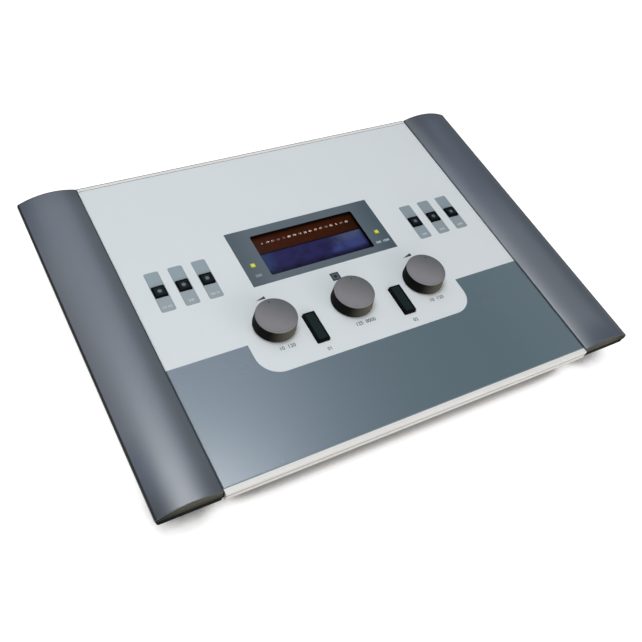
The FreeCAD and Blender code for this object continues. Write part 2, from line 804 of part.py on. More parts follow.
def displayFrame():
    body = newBody("display_frame")
    zero = 0 * windowMiddle
    wall = sketchOn(body, "wall", "XY_Plane", -size.filmThickness)
    addRoundedBox(wall, zero, zero, frameWidth, frameLength, size.windowCorner)
    pad(body, wall, size.frameDepth, reverse=True)
    flange = sketchOn(body, "flange", "XY_Plane", -size.plateThickness)
    addBox(flange, zero, zero, frameWidth + size.frameFlange * 2, frameLength + size.frameFlange * 2)
    pad(body, flange, size.filmThickness + size.frameDepth - size.plateThickness, reverse=True)
    opening = sketchOn(body, "opening", "XY_Plane", -size.filmThickness)
    addRoundedBox(opening, zero, zero, size.windowWidth, size.windowDepth, size.windowCorner)
    pocket(body, opening, size.frameDepth)
    seat = sketchOn(body, "lensSeat", "XY_Plane", -size.windowRecess)
    addBox(seat, zero, zero, size.windowWidth + size.lensLip * 2, size.windowDepth + size.lensLip * 2)
    pocket(body, seat, size.frameDepth)
    return onPanel(body, 0, windowMiddle)


def displayPlate(label, top, width, depth, thickness):
    """A flat rectangular part of the display, centred under its window."""
    body = newBody(label)
    outline = sketchOn(body, "outline", "XY_Plane", top)
    addBox(outline, 0 * top, 0 * top, width, depth)
    pad(body, outline, thickness, reverse=True)
    return onPanel(body, 0, windowMiddle)


lensWidth = size.windowWidth + (size.lensLip - size.filmClearance) * 2
lensLength = size.windowDepth + (size.lensLip - size.filmClearance) * 2
cellWidth = size.windowWidth + size.cellMargin * 2
cellLength = size.windowDepth + size.cellMargin * 2
cellTop = -(size.filmThickness + size.frameDepth)
holderBottom = cellTop - size.cellThickness - size.holderFloor
displayBoardBottom = holderBottom - size.boardThickness


def displayHolder():
    body = newBody("display_holder")
    zero = 0 * windowMiddle
    outline = sketchOn(body, "outline", "XY_Plane", cellTop)
    addBox(outline, zero, zero, cellWidth + size.holderWall * 2, cellLength + size.holderWall * 2)
    pad(body, outline, size.cellThickness + size.holderFloor, reverse=True)
    bed = sketchOn(body, "bed", "XY_Plane", cellTop)
    addBox(bed, zero, zero, cellWidth + size.filmClearance * 2, cellLength + size.filmClearance * 2)
    pocket(body, bed, size.cellThickness)
    return onPanel(body, 0, windowMiddle)


def displaySpacers():
    body = newBody("display_spacers")
    posts = sketchOn(body, "posts", "XY_Plane", boardTop)
    for x in (-1, 1):
        for y in (-1, 1):
            addRound(posts, (size.displayBoardWidth * half - size.boardScrewInset) * x,
                     (size.displayBoardDepth * half - size.boardScrewInset) * y, size.spacerRadius)
    pad(body, posts, displayBoardBottom - boardTop)
    return onPanel(body, 0, windowMiddle)


def statusLights():
    body = newBody("status_lights")
    posts = sketchOn(body, "posts", "XY_Plane", boardTop)
    for x in lightSpots:
        addBox(posts, x, size.lightPlace, size.lightSize, size.lightSize)
    pad(body, posts, size.lightProud - boardTop)
    return onPanel(body)


# ---- knobs and encoders ----

def knob(label, x, markAngle):
    """A hollow cap with a hub for the shaft and a small index mark near the rim of its face."""
    body = newBody(label)
    zero = 0 * size.knobRise
    top = size.knobHeight
    hubBottom = size.bushProud + size.knobRise
    roof = top - size.knobTopWall
    section = sketchOn(body, "section", "XZ_Plane")
    addOutline(section, [
        (zero, roof), (size.shaftRadius + size.pinClearance, roof),
        (size.shaftRadius + size.pinClearance, hubBottom), (size.knobHubRadius, hubBottom),
        (size.knobHubRadius, roof), (size.knobTopRadius - size.knobWall, roof),
        (size.knobBaseRadius - size.knobWall, size.knobRise), (size.knobBaseRadius, size.knobRise),
        (size.knobTopRadius, top), (zero, top)])
    revolve(body, section)
    roundOff(body, size.knobEdge, lambda middle, direction: near(middle.z, top))
    mark = sketchOn(body, "mark", "XY_Plane", top)
    mark.AttachmentOffset = FreeCAD.Placement(
        FreeCAD.Vector(0, 0, number(top)), FreeCAD.Rotation(FreeCAD.Vector(0, 0, 1), markAngle))
    bind(mark, "AttachmentOffset.Base.z", top)
    addBox(mark, zero, size.knobMarkPlace, size.knobMarkWidth, size.knobMarkLength)
    pocket(body, mark, size.knobMarkDepth)
    return onPanel(body, x, size.knobPlace)


def encoderShaft(label, x):
    body = newBody(label)
    zero = 0 * size.shaftRadius
    bottom = boardTop + size.encoderHeight * half
    top = size.knobHeight - size.knobTopWall - size.pinClearance
    rod = sketchOn(body, "rod", "XY_Plane", bottom)
    addRound(rod, zero, zero, size.shaftRadius)
    pad(body, rod, top - bottom)
    flat = sketchOn(body, "flat", "XY_Plane", top)
    addBox(flat, zero, size.shaftRadius, size.shaftRadius * 2, size.shaftFlat * 2)
    pocket(body, flat, size.knobHeight * half)
    return onPanel(body, x, size.knobPlace)


def encoderBodies():
    body = newBody("encoder_bodies")
    boxes = sketchOn(body, "boxes", "XY_Plane", boardTop)
    for x in knobSpots.values():
        addBox(boxes, x, size.knobPlace, size.encoderSize, size.encoderSize)
    pad(body, boxes, size.encoderHeight)
    bushes = sketchOn(body, "bushes", "XY_Plane", size.bushProud)
    for x in knobSpots.values():
        addRound(bushes, x, size.knobPlace, size.bushRadius)
    pad(body, bushes, size.bushProud - boardTop - size.encoderHeight + tiny, reverse=True)
    bores = sketchOn(body, "bores", "XY_Plane", size.bushProud)
    for x in knobSpots.values():
        addRound(bores, x, size.knobPlace, size.shaftRadius + size.runningClearance)
    boreBottom = boardTop + size.encoderHeight * half - size.runningClearance
    pocket(body, bores, size.bushProud - boreBottom)
    return onPanel(body)


def encoderNuts():
    body = newBody("encoder_nuts")
    nuts = sketchOn(body, "nuts", "XY_Plane", -size.filmThickness)
    for x in knobSpots.values():
        addHexagon(nuts, x, size.knobPlace, size.nutAcross)
    pad(body, nuts, size.nutThickness)
    bores = sketchOn(body, "bores", "XY_Plane", -size.filmThickness)
    for x in knobSpots.values():
        addRound(bores, x, size.knobPlace, size.bushRadius + size.runningClearance)
    pocket(body, bores, size.nutThickness, reverse=True)
    return onPanel(body)


# ---- push buttons ----

stemBottom = boardTop + size.switchHeight - size.stemEngagement
collarTop = -(size.plateThickness + size.holeClearance * half)


def pushButton(label, x):
    """A square cap whose collar holds it under the plate and whose stem enters its switch."""
    body = newBody(label)
    zero = 0 * size.buttonWidth
    cap = sketchOn(body, "cap", "XY_Plane", collarTop - size.buttonCollar * half)
    addBox(cap, zero, zero, size.buttonWidth, size.buttonDepth)
    pad(body, cap, size.buttonProud - collarTop + size.buttonCollar * half)
    roundOff(body, size.buttonEdge, lambda middle, direction:
             near(middle.z, size.buttonProud) or abs(direction.z) > 0.99)
    collar = sketchOn(body, "collar", "XY_Plane", collarTop)
    addBox(collar, zero, zero, size.buttonWidth + (size.buttonGap + size.buttonCollar) * 2,
           size.buttonDepth + (size.buttonGap + size.buttonCollar) * 2)
    pad(body, collar, size.buttonCollar, reverse=True)
    stem = sketchOn(body, "stem", "XY_Plane", stemBottom)
    addBox(stem, zero, zero, size.stemWidth, size.stemWidth)
    pad(body, stem, collarTop - size.buttonCollar * half - stemBottom)
    return onPanel(body, x, size.buttonPlace)


def buttonSwitches():
    body = newBody("button_switches")
    boxes = sketchOn(body, "boxes", "XY_Plane", boardTop)
    wells = boardTop + size.switchHeight
    for x in buttonSpots:
        addBox(boxes, x, size.buttonPlace, size.switchSize, size.switchSize)
    pad(body, boxes, size.switchHeight)
    holes = sketchOn(body, "wells", "XY_Plane", wells)
    for x in buttonSpots:
        well = size.stemWidth + size.stemGap * 2
        addBox(holes, x, size.buttonPlace, well, well)
    pocket(body, holes, size.stemEngagement + size.buttonTravel + size.stemGap)
    return onPanel(body)


# ---- interrupter keys ----

pivotY = size.keyLength * half - size.pivotSetIn
earInner = size.keyWidth * half + size.earGap
earOuter = earInner + size.earThickness


def interrupterKey(label, x):
    """A long bar that tips about a pin near its rear end."""
    body = newBody(label)
    zero = 0 * size.keyWidth
    bar = sketchOn(body, "bar", "XY_Plane", -size.keyBody)
    addBox(bar, zero, zero, size.keyWidth, size.keyLength)
    pad(body, bar, size.keyBody + size.keyProud)
    roundOff(body, size.keyEdge, lambda middle, direction: near(middle.z, size.keyProud))
    inset = sketchOn(body, "inset", "XY_Plane", size.keyProud)
    addRoundedBox(inset, zero, zero, size.keyWidth - size.keyInset * 2,
                  size.keyLength - size.keyInset * 2, size.keyEdge)
    pocket(body, inset, size.keyInsetDepth)
    bore = sketchOn(body, "bore", "YZ_Plane")
    addRound(bore, pivotY, -size.pivotDrop, size.pivotRadius + size.runningClearance)
    pocket(body, bore, size.keyWidth * 2, centred=True)
    return onPanel(body, x, size.keyPlace)


def keyBracket(label, x):
    """A sheet-metal channel on the control board: a floor with two ears that hold the pin."""
    body = newBody(label)
    zero = 0 * earOuter
    floor = sketchOn(body, "floor", "XY_Plane", boardTop)
    addBox(floor, zero, zero, earOuter * 2, size.keyLength)
    pad(body, floor, size.bracketFloor)
    ears = sketchOn(body, "ears", "XY_Plane", boardTop)
    for side in (-1, 1):
        addBox(ears, side * (earInner + earOuter) * half, pivotY, size.earThickness,
               size.earHalfDepth * 2)
    pad(body, ears, size.controlBoardDrop - size.plateThickness - size.earGap)
    bore = sketchOn(body, "bore", "YZ_Plane")
    addRound(bore, pivotY, -size.pivotDrop, size.pivotRadius + size.pinClearance)
    pocket(body, bore, earOuter * 4, centred=True)
    return onPanel(body, x, size.keyPlace)


def keyPins():
    body = newBody("key_pivot_pins")
    length = (earOuter + size.pinOverhang) * 2
    for side, x in keySpots.items():
        pin = sketchOn(body, side, "YZ_Plane", x)
        addRound(pin, size.keyPlace + pivotY, -size.pivotDrop, size.pivotRadius)
        pad(body, pin, length, centred=True)
    return onPanel(body)


def keySwitches():
    body = newBody("key_switches")
    base = boardTop + size.bracketFloor
    switchY = size.keyPlace - size.keyLength * 0.2
    arm = pivotY + size.keyLength * 0.2
    sweep = Term("tan(Sizes.keyTravel * 1 deg)") * (arm + size.plungerRadius)
    plungerTop = -size.keyBody - sweep - size.plungerGap
    boxes = sketchOn(body, "boxes", "XY_Plane", base)
    plungers = sketchOn(body, "plungers", "XY_Plane", base)
    for x in keySpots.values():
        addBox(boxes, x, switchY, size.keySwitchWidth, size.keySwitchLength)
        addRound(plungers, x, switchY, size.plungerRadius)
    pad(body, boxes, size.keySwitchHeight)
    pad(body, plungers, plungerTop - base)
    return onPanel(body)


# ---- boards and their parts ----

def controlBoard():
    body = newBody("control_board")
    outline = sketchOn(body, "outline", "XY_Plane", boardTop)
    addBox(outline, 0 * controlBoardMiddle, controlBoardMiddle, size.controlBoardWidth,
           controlBoardLength)
    pad(body, outline, size.boardThickness, reverse=True)
    holes = sketchOn(body, "holes", "XY_Plane", boardTop)
    for x, y in boardScrewSpots:
        addRound(holes, x, y, size.screwRadius + size.holeClearance)
    pocket(body, holes, size.boardThickness)
    return onPanel(body)


def mainBoard():
    body = newBody("main_board")
    outline = sketchOn(body, "outline", "XY_Plane", mainBoardBottom)
    addBox(outline, 0 * mainBoardMiddle, mainBoardMiddle, size.mainBoardWidth, mainBoardLength)
    pad(body, outline, size.boardThickness)
    holes = sketchOn(body, "holes", "XY_Plane", mainBoardTop)
    for x, y in mainScrewSpots:
        addRound(holes, x, y, size.screwRadius + size.holeClearance)
    pocket(body, holes, size.boardThickness)
    return body


def boardChips():
    """The processor in the middle and four smaller chips round it."""
    body = newBody("board_chips")
    processor = sketchOn(body, "processor", "XY_Plane", mainBoardTop)
    addBox(processor, 0 * mainBoardMiddle, mainBoardMiddle, size.chipSize, size.chipSize)
    pad(body, processor, size.chipHeight)
    small = sketchOn(body, "small", "XY_Plane", mainBoardTop)
    for x in (-3, -2, 2, 3):
        addBox(small, size.chipSize * x * 0.8, mainBoardMiddle, size.chipSize * half,
               size.chipSize * 0.7)
    pad(body, small, size.chipHeight * 0.8)
    return body


def filterCapacitors():
    body = newBody("filter_capacitors")
    cans = sketchOn(body, "cans", "XY_Plane", mainBoardTop)
    for place in (5, 7.5, 10, 12.5):
        addRound(cans, size.capacitorRadius * place, size.tallPartPlace, size.capacitorRadius)
    pad(body, cans, size.capacitorHeight)
    roundOff(body, size.rimEdge, lambda middle, direction:
             near(middle.z, mainBoardTop + size.capacitorHeight))
    return body


def outputTransformers():
    """Two small transformers, each a laminated core around a wider coil."""
    body = newBody("output_transformers")
    cores = sketchOn(body, "cores", "XY_Plane", mainBoardTop)
    coils = sketchOn(body, "coils", "XY_Plane", mainBoardTop + size.coreThickness * half)
    for place in (3.8, 2.4):
        x = -size.transformerWidth * place
        addBox(cores, x, size.tallPartPlace, size.transformerWidth, size.transformerDepth * half)
        addBox(coils, x, size.tallPartPlace, size.transformerWidth - size.coreThickness * 2,
               size.transformerDepth)
    pad(body, cores, size.transformerHeight)
    pad(body, coils, size.transformerHeight - size.coreThickness)
    return body


def regulatorSink():
    """A finned heat sink beside the capacitors."""
    body = newBody("regulator_sink")
    comb = sketchOn(body, "comb", "XZ_Plane", -size.tallPartPlace)
    middle = -size.sinkWidth * 0.7
    addBox(comb, middle, mainBoardTop + size.sinkBase * half, size.sinkWidth, size.sinkBase)
    pad(body, comb, size.transformerDepth, centred=True)
    fins = sketchOn(body, "fins", "XZ_Plane", -size.tallPartPlace)
    for step in range(-2, 3):
        addBox(fins, middle + size.finPitch * step, mainBoardTop + size.sinkHeight * half,
               size.finThickness, size.sinkHeight)
    pad(body, fins, size.transformerDepth, centred=True)
    return body


headerFaceY = tableY(size.headerPanelPlace, boardBottom - size.headerHeight)
headerTilt = size.headerDepth * half * sinTilt


def controlHeader():
    body = newBody("control_header")
    block = sketchOn(body, "block", "XY_Plane", boardBottom)
    addBox(block, size.headerPlace, size.headerPanelPlace, size.headerWidth, size.headerDepth)
    pad(body, block, size.headerHeight, reverse=True)
    return onPanel(body)


def mainHeader():
    body = newBody("main_header")
    block = sketchOn(body, "block", "XY_Plane", mainBoardTop)
    addBox(block, size.headerPlace, headerFaceY, size.headerWidth, size.headerDepth)
    pad(body, block, size.headerHeight)
    return body


def ribbonCable():
    """The short flat cable between the two headers, cut square to each of them."""
    body = newBody("ribbon_cable")
    strip = sketchOn(body, "strip", "YZ_Plane", size.headerPlace)
    reach = size.ribbonThickness * half
    faceZ = tableZ(size.headerPanelPlace, boardBottom - size.headerHeight)
    addOutline(strip, [
        (headerFaceY - reach, mainBoardTop + size.headerHeight),
        (headerFaceY + reach, mainBoardTop + size.headerHeight),
        (headerFaceY + reach * cosTilt, faceZ + reach * sinTilt),
        (headerFaceY - reach * cosTilt, faceZ - reach * sinTilt)])
    pad(body, strip, size.ribbonWidth, centred=True)
    return body


# ---- monitor speaker ----

def monitorSpeaker():
    """Basket and magnet, face down on the floor over the slots."""
    body = newBody("monitor_speaker")
    zero = 0 * size.speakerRadius
    top = size.speakerHeight
    wall = size.speakerRim * half
    throat = size.magnetRadius * 0.8
    section = sketchOn(body, "section", "XZ_Plane")
    addOutline(section, [
        (size.speakerRadius, zero), (size.speakerRadius, size.speakerRim),
        (size.magnetRadius, top - size.magnetHeight), (size.magnetRadius, top), (zero, top),
        (zero, top - size.magnetHeight), (throat, top - size.magnetHeight - wall),
        (size.speakerRadius - size.speakerRim, wall), (size.speakerRadius - size.speakerRim, zero)])
    revolve(body, section)
    return placedAt(body, size.speakerPlace, speakerY, floorTop)


def speakerCone():
    """The paper cone, inside the basket and glued to its rim."""
    body = newBody("speaker_cone")
    zero = 0 * size.speakerRadius
    rim = size.speakerRadius - size.speakerRim - size.filmClearance
    throat = size.magnetRadius * half
    depth = size.speakerHeight - size.magnetHeight - size.speakerRim * 1.5
    sheetThickness = size.coneThickness
    section = sketchOn(body, "section", "XZ_Plane")
    addOutline(section, [
        (rim, zero), (rim, sheetThickness), (rim - size.speakerRim, sheetThickness),
        (throat, depth), (zero, depth), (zero, depth - sheetThickness),
        (throat, depth - sheetThickness), (rim - size.speakerRim, zero)])
    revolve(body, section)
    return placedAt(body, size.speakerPlace, speakerY, floorTop)


# ---- rear connectors ----

plateOuter = wedgeRearWall + size.connectorPlateThickness


def connectorPlate():
    body = newBody("connector_plate")
    plate = sketchOn(body, "plate", "XZ_Plane", -wedgeRearWall)
    addRoundedBox(plate, 0 * plateOuter, size.connectorMiddle, size.connectorPlateWidth,
                  size.connectorPlateHeight, size.windowCorner)
    pad(body, plate, size.connectorPlateThickness, reverse=True)
    holes = sketchOn(body, "holes", "XZ_Plane", -wedgeRearWall)
    for x in jackPlaces.values():
        addRound(holes, x, size.connectorMiddle, size.jackBushRadius + size.bushClearance)
    addRound(holes, size.inletPlace, size.connectorMiddle, size.inletBushRadius + size.bushClearance)
    addBox(holes, size.portPlace, size.connectorMiddle, size.portWidth + size.bushClearance * 2,
           size.portHeight + size.bushClearance * 2)
    for x, z in connectorScrewSpots:
        addRound(holes, x, z, size.screwRadius + size.holeClearance)
    pocket(body, holes, size.connectorPlateThickness)
    return body


def jack(label, x):
    """A panel jack: body behind the plate, bush through it, one stepped blind bore."""
    body = newBody(label)
    block = sketchOn(body, "block", "XZ_Plane", -wedgeRearWall)
    addBox(block, x, size.connectorMiddle, size.jackBodyWidth, size.jackBodyHeight)
    pad(body, block, size.jackBodyLength)
    bush = sketchOn(body, "bush", "XZ_Plane", -wedgeRearWall)
    addRound(bush, x, size.connectorMiddle, size.jackBushRadius)
    pad(body, bush, size.connectorPlateThickness + size.jackBushProud, reverse=True)
    bore = sketchOn(body, "bore", "XZ_Plane", -(plateOuter + size.jackBushProud))
    addRound(bore, x, size.connectorMiddle, size.jackRadius)
    pocket(body, bore, size.jackBoreLength, reverse=True)
    return body


def jackNuts():
    body = newBody("jack_nuts")
    nuts = sketchOn(body, "nuts", "XZ_Plane", -plateOuter)
    for x in jackPlaces.values():
        addHexagon(nuts, x, size.connectorMiddle, size.jackNutAcross)
    pad(body, nuts, size.jackNutThickness, reverse=True)
    bores = sketchOn(body, "bores", "XZ_Plane", -plateOuter)
    for x in jackPlaces.values():
        addRound(bores, x, size.connectorMiddle, size.jackBushRadius + size.runningClearance)
    pocket(body, bores, size.jackNutThickness)
    return body


def powerInlet():
    """A round low-voltage inlet with its centre pin."""
    body = newBody("power_inlet")
    block = sketchOn(body, "block", "XZ_Plane", -wedgeRearWall)
    addBox(block, size.inletPlace, size.connectorMiddle, size.inletBushRadius * 2.4,
           size.jackBodyHeight)
    pad(body, block, size.jackBodyLength * 0.7)
    bush = sketchOn(body, "bush", "XZ_Plane", -wedgeRearWall)
    addRound(bush, size.inletPlace, size.connectorMiddle, size.inletBushRadius)
    pad(body, bush, size.connectorPlateThickness, reverse=True)
    bore = sketchOn(body, "bore", "XZ_Plane", -plateOuter)
    addRound(bore, size.inletPlace, size.connectorMiddle, size.inletRadius)
    pocket(body, bore, size.inletBoreLength, reverse=True)
    pin = sketchOn(body, "pin", "XZ_Plane", -plateOuter)
    addRound(pin, size.inletPlace, size.connectorMiddle, size.inletPinRadius)
    pad(body, pin, size.inletBoreLength + tiny)
    return body


def dataPort():
    """A nine-way connector: flange behind the plate, block through it, contact holes in its face."""
    body = newBody("data_port")
    flange = sketchOn(body, "flange", "XZ_Plane", -wedgeRearWall)
    addBox(flange, size.portPlace, size.connectorMiddle, size.portFlangeWidth, size.portFlangeHeight)
    pad(body, flange, size.jackBodyLength * half)
    block = sketchOn(body, "block", "XZ_Plane", -wedgeRearWall)
    slope = size.portHeight * 0.15
    left = size.portPlace - size.portWidth * half
    right = size.portPlace + size.portWidth * half
    low = size.connectorMiddle - size.portHeight * half
    high = size.connectorMiddle + size.portHeight * half
    addOutline(block, [(left + slope, low), (right - slope, low), (right, high), (left, high)])
    pad(body, block, size.portProud, reverse=True)
    contacts = sketchOn(body, "contacts", "XZ_Plane", -(wedgeRearWall + size.portProud))
    for row, count in ((1, 5), (-1, 4)):
        for place in range(count):
            addRound(contacts, size.portPlace + size.portContactPitch * (place - (count - 1) / 2),
                     size.connectorMiddle + size.portContactPitch * half * row,
                     size.portContactRadius)
    pocket(body, contacts, size.portProud, reverse=True)
    return body


def connectorPlateScrews():
    """Four screws through the connector plate into the rear wall."""
    body = newBody("connector_plate_screws")
    heads = sketchOn(body, "heads", "XZ_Plane", -plateOuter)
    for x, z in connectorScrewSpots:
        addRound(heads, x, z, size.screwHeadRadius)
    pad(body, heads, size.screwHeadHeight, reverse=True)
    shanks = sketchOn(body, "shanks", "XZ_Plane", -plateOuter)
    for x, z in connectorScrewSpots:
        addRound(shanks, x, z, size.screwRadius)
    pad(body, shanks, size.connectorPlateThickness + size.caseWall)
    slots = sketchOn(body, "slots", "XZ_Plane", -(plateOuter + size.screwHeadHeight))
    for x, z in connectorScrewSpots:
        addBox(slots, x, z, size.screwHeadRadius * 1.5, size.screwHeadRadius * 0.3)
    pocket(body, slots, size.screwHeadHeight * half, reverse=True)
    return body


# ---- the whole object ----

pieces = [upperCase(), panelFilm(), lowerCase(), rubberFeet()]
for side, sign in (("left", -1), ("right", 1)):
    pieces.append(wingCover(f"wing_cover_{side}", sign))
    pieces.append(wingBase(f"wing_base_{side}", sign))

pieces.append(displayFrame())
pieces.append(displayPlate("display_window", -size.windowRecess, lensWidth, lensLength,
                           size.lensThickness))
pieces.append(displayPlate("display_cell", cellTop, cellWidth, cellLength, size.cellThickness))
pieces.append(displayHolder())
pieces.append(displayPlate("display_board", holderBottom, size.displayBoardWidth,
                           size.displayBoardDepth, size.boardThickness))
pieces.append(displaySpacers())
pieces.append(statusLights())

markAngles = {"left": 0, "center": -18, "right": -31}
for side, x in knobSpots.items():
    pieces.append(knob(f"knob_{side}", x, markAngles[side]))
    pieces.append(encoderShaft(f"encoder_shaft_{side}", x))
pieces.append(encoderBodies())
pieces.append(encoderNuts())

for index, x in enumerate(buttonSpots, start=1):
    pieces.append(pushButton(f"push_button_{index}", x))
pieces.append(buttonSwitches())

for side, x in keySpots.items():
    pieces.append(interrupterKey(f"interrupter_key_{side}", x))
    pieces.append(keyBracket(f"key_bracket_{side}", x))
pieces.append(keyPins())
pieces.append(keySwitches())

pieces.append(controlBoard())
pieces.append(onPanel(screws("control_board_screws", boardScrewSpots, boardBottom,
                             size.screwLength, upsideDown=True)))
pieces.append(mainBoard())
pieces.append(screws("main_board_screws", mainScrewSpots, mainBoardTop, size.floorBossHeight))
pieces.append(boardChips())
pieces.append(filterCapacitors())
pieces.append(outputTransformers())
pieces.append(regulatorSink())
pieces.append(controlHeader())
pieces.append(mainHeader())
pieces.append(ribbonCable())
pieces.append(monitorSpeaker())
pieces.append(speakerCone())

pieces.append(connectorPlate())
for label, x in jackPlaces.items():
    pieces.append(jack(label, x))
pieces.append(jackNuts())
pieces.append(powerInlet())
pieces.append(dataPort())
pieces.append(connectorPlateScrews())

pieces.append(onPanel(screws("case_screws", seamSpots, -size.lipDepth,
                             flangeThickness + size.plateThickness * half, upsideDown=True)))
wingScrewSpots = [(side * x, y) for side in (-1, 1) for x in (tongueScrewX, coverScrewX)
                  for y in wingScrewYs]
pieces.append(onPanel(screws("wing_screws", wingScrewSpots, wingBaseBottom, size.wingScrewLength,
                             upsideDown=True)))

doc.recompute()
for item in doc.Objects:
    if "Invalid" in item.State or "Error" in item.State:
        raise RuntimeError(f"{item.Name} is {item.State}")
for piece in pieces:
    if piece.Shape.isNull() or not piece.Shape.isValid():
        raise RuntimeError(f"{piece.Label} has no valid shape")
for piece in pieces:
    piece.Shape.exportStep(f"parts/{piece.Label}.step")
print(len(pieces), "pieces written")
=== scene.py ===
import json
import math
import bpy
import bmesh
from mathutils import Matrix, Vector


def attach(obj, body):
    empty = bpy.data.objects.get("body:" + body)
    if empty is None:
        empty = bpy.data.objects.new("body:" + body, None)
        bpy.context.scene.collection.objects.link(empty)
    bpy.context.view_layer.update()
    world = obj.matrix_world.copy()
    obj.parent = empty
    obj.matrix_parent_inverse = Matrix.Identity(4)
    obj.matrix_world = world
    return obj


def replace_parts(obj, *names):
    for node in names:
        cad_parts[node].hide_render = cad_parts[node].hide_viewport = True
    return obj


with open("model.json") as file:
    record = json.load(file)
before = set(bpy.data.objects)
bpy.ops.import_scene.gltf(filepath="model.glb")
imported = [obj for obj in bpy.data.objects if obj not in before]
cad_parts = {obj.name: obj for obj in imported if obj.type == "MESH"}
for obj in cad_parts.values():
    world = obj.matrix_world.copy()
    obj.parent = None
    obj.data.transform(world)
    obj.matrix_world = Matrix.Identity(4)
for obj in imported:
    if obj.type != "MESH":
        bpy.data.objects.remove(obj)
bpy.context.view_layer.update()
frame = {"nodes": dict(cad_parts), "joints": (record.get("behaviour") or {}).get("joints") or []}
nodes = frame["nodes"]
mm = 0.001
print("frame loaded:", len(nodes), "nodes")


def joint(name):
    return next(each for each in frame["joints"] if each["name"] == name)


# places on the sloping panel, in millimetres: x right, y rearwards along it, z out of it

layout = {
    "filmWidth": 298.8, "filmDepth": 264.5, "filmThickness": 0.5,
    "knobPlace": 101.1, "knobPitch": 64.4,
    "slateRear": 91.4,          # where the slate ink ends and the pale ink begins
    "tongueHalf": 89.9, "tongueFront": 62.7, "tongueCorner": 17,
    "windowPlace": 162.7, "windowWidth": 90.8, "windowDepth": 40, "windowCorner": 1.5,
    "bezelWidth": 126.8, "bezelFront": 136.5, "bezelRear": 190.4,
    "lightReach": 54.9, "lightPlace": 155.9,
    "buttonPlace": 155.2, "stripReach": 110.4, "stripPitch": 18.2,
    "keyReach": 37.3, "keyPlace": 88.3,
    "printHeight": 0.04,        # how far an ink layer stands above the film
    "printDepth": 0.02,         # how far it reaches into the film
}
rightWay = Vector((1, 0, 0))
middleKnob = joint("knob_center_turn")
panelUp = Vector(middleKnob["axis"]).normalized()
panelBack = panelUp.cross(rightWay)
panelZero = Vector(middleKnob["pos_m"]) - panelBack * layout["knobPlace"] * mm
sides = (("left", -1), ("right", 1))


def axesMatrix(right, up, back, place):
    matrix = Matrix((right, up, back)).transposed().to_4x4()
    matrix.translation = place
    return matrix


panelFrame = axesMatrix(rightWay, panelBack, panelUp, panelZero)


def onPanel(x, y, turn=0):
    spot = Matrix.Translation(Vector((x, y, 0)) * mm)
    return panelFrame @ spot @ Matrix.Rotation(math.radians(turn), 4, "Z")


def placed(name, data, matrix=Matrix()):
    # a new object in the scene
    thing = bpy.data.objects.new(name, data)
    bpy.context.scene.collection.objects.link(thing)
    thing.matrix_world = matrix
    return thing


def picked(values, names):
    return [values[name] for name in names.split()]


# camera, its places counted from the middle of the panel's front edge

view = {
    "place": (-0.29056, -0.248207, 0.447587),
    "aim": (-0.034845, 0.086338, 0.018),
    "roll": 11.041,
    "lens": 47.606,
}


def addCamera():
    camera = bpy.data.cameras.new("view")
    camera.lens = view["lens"]
    camera.sensor_width = 36
    camera.clip_start = 0.01
    place = panelZero + Vector(view["place"])
    forward = (panelZero + Vector(view["aim"]) - place).normalized()
    level = forward.cross(Vector((0, 0, 1))).normalized()
    raised = level.cross(forward)
    roll = math.radians(view["roll"])
    right = level * math.cos(roll) + raised * math.sin(roll)
    matrix = axesMatrix(right, right.cross(forward), -forward, place)
    bpy.context.scene.camera = placed("view", camera, matrix)


addCamera()
bpy.context.scene.view_settings.view_transform = "Standard"
print("camera set")


# shader maths

class Value:
    # a socket that can stand in a sum

    def __init__(self, surface, socket):
        self.surface = surface
        self.socket = socket

    def maths(self, operation, *numbers):
        return self.surface.node("Math", {"operation": operation}, list(numbers))

    def __add__(self, other):
        return self.maths("ADD", self, other)

    def __radd__(self, other):
        return self.maths("ADD", other, self)

    def __sub__(self, other):
        return self.maths("SUBTRACT", self, other)

    def __rsub__(self, other):
        return self.maths("SUBTRACT", other, self)

    def __mul__(self, other):
        return self.maths("MULTIPLY", self, other)

    def __rmul__(self, other):
        return self.maths("MULTIPLY", other, self)

    def __abs__(self):
        return self.maths("ABSOLUTE", self)

    def most(self, other):
        return self.maths("MAXIMUM", self, other)

    def step(self, low, high):
        # 0 below low, 1 above high, smooth between
        settings = {"interpolation_type": "SMOOTHSTEP"}
        limits = {"Value": self, "From Min": low, "From Max": high}
        return self.surface.node("MapRange", settings, limits)

    def band(self, rise, fall):
        # 1 between two soft edges, each given by the places where it starts and ends
        return self.step(*rise) * (1 - self.step(*fall))


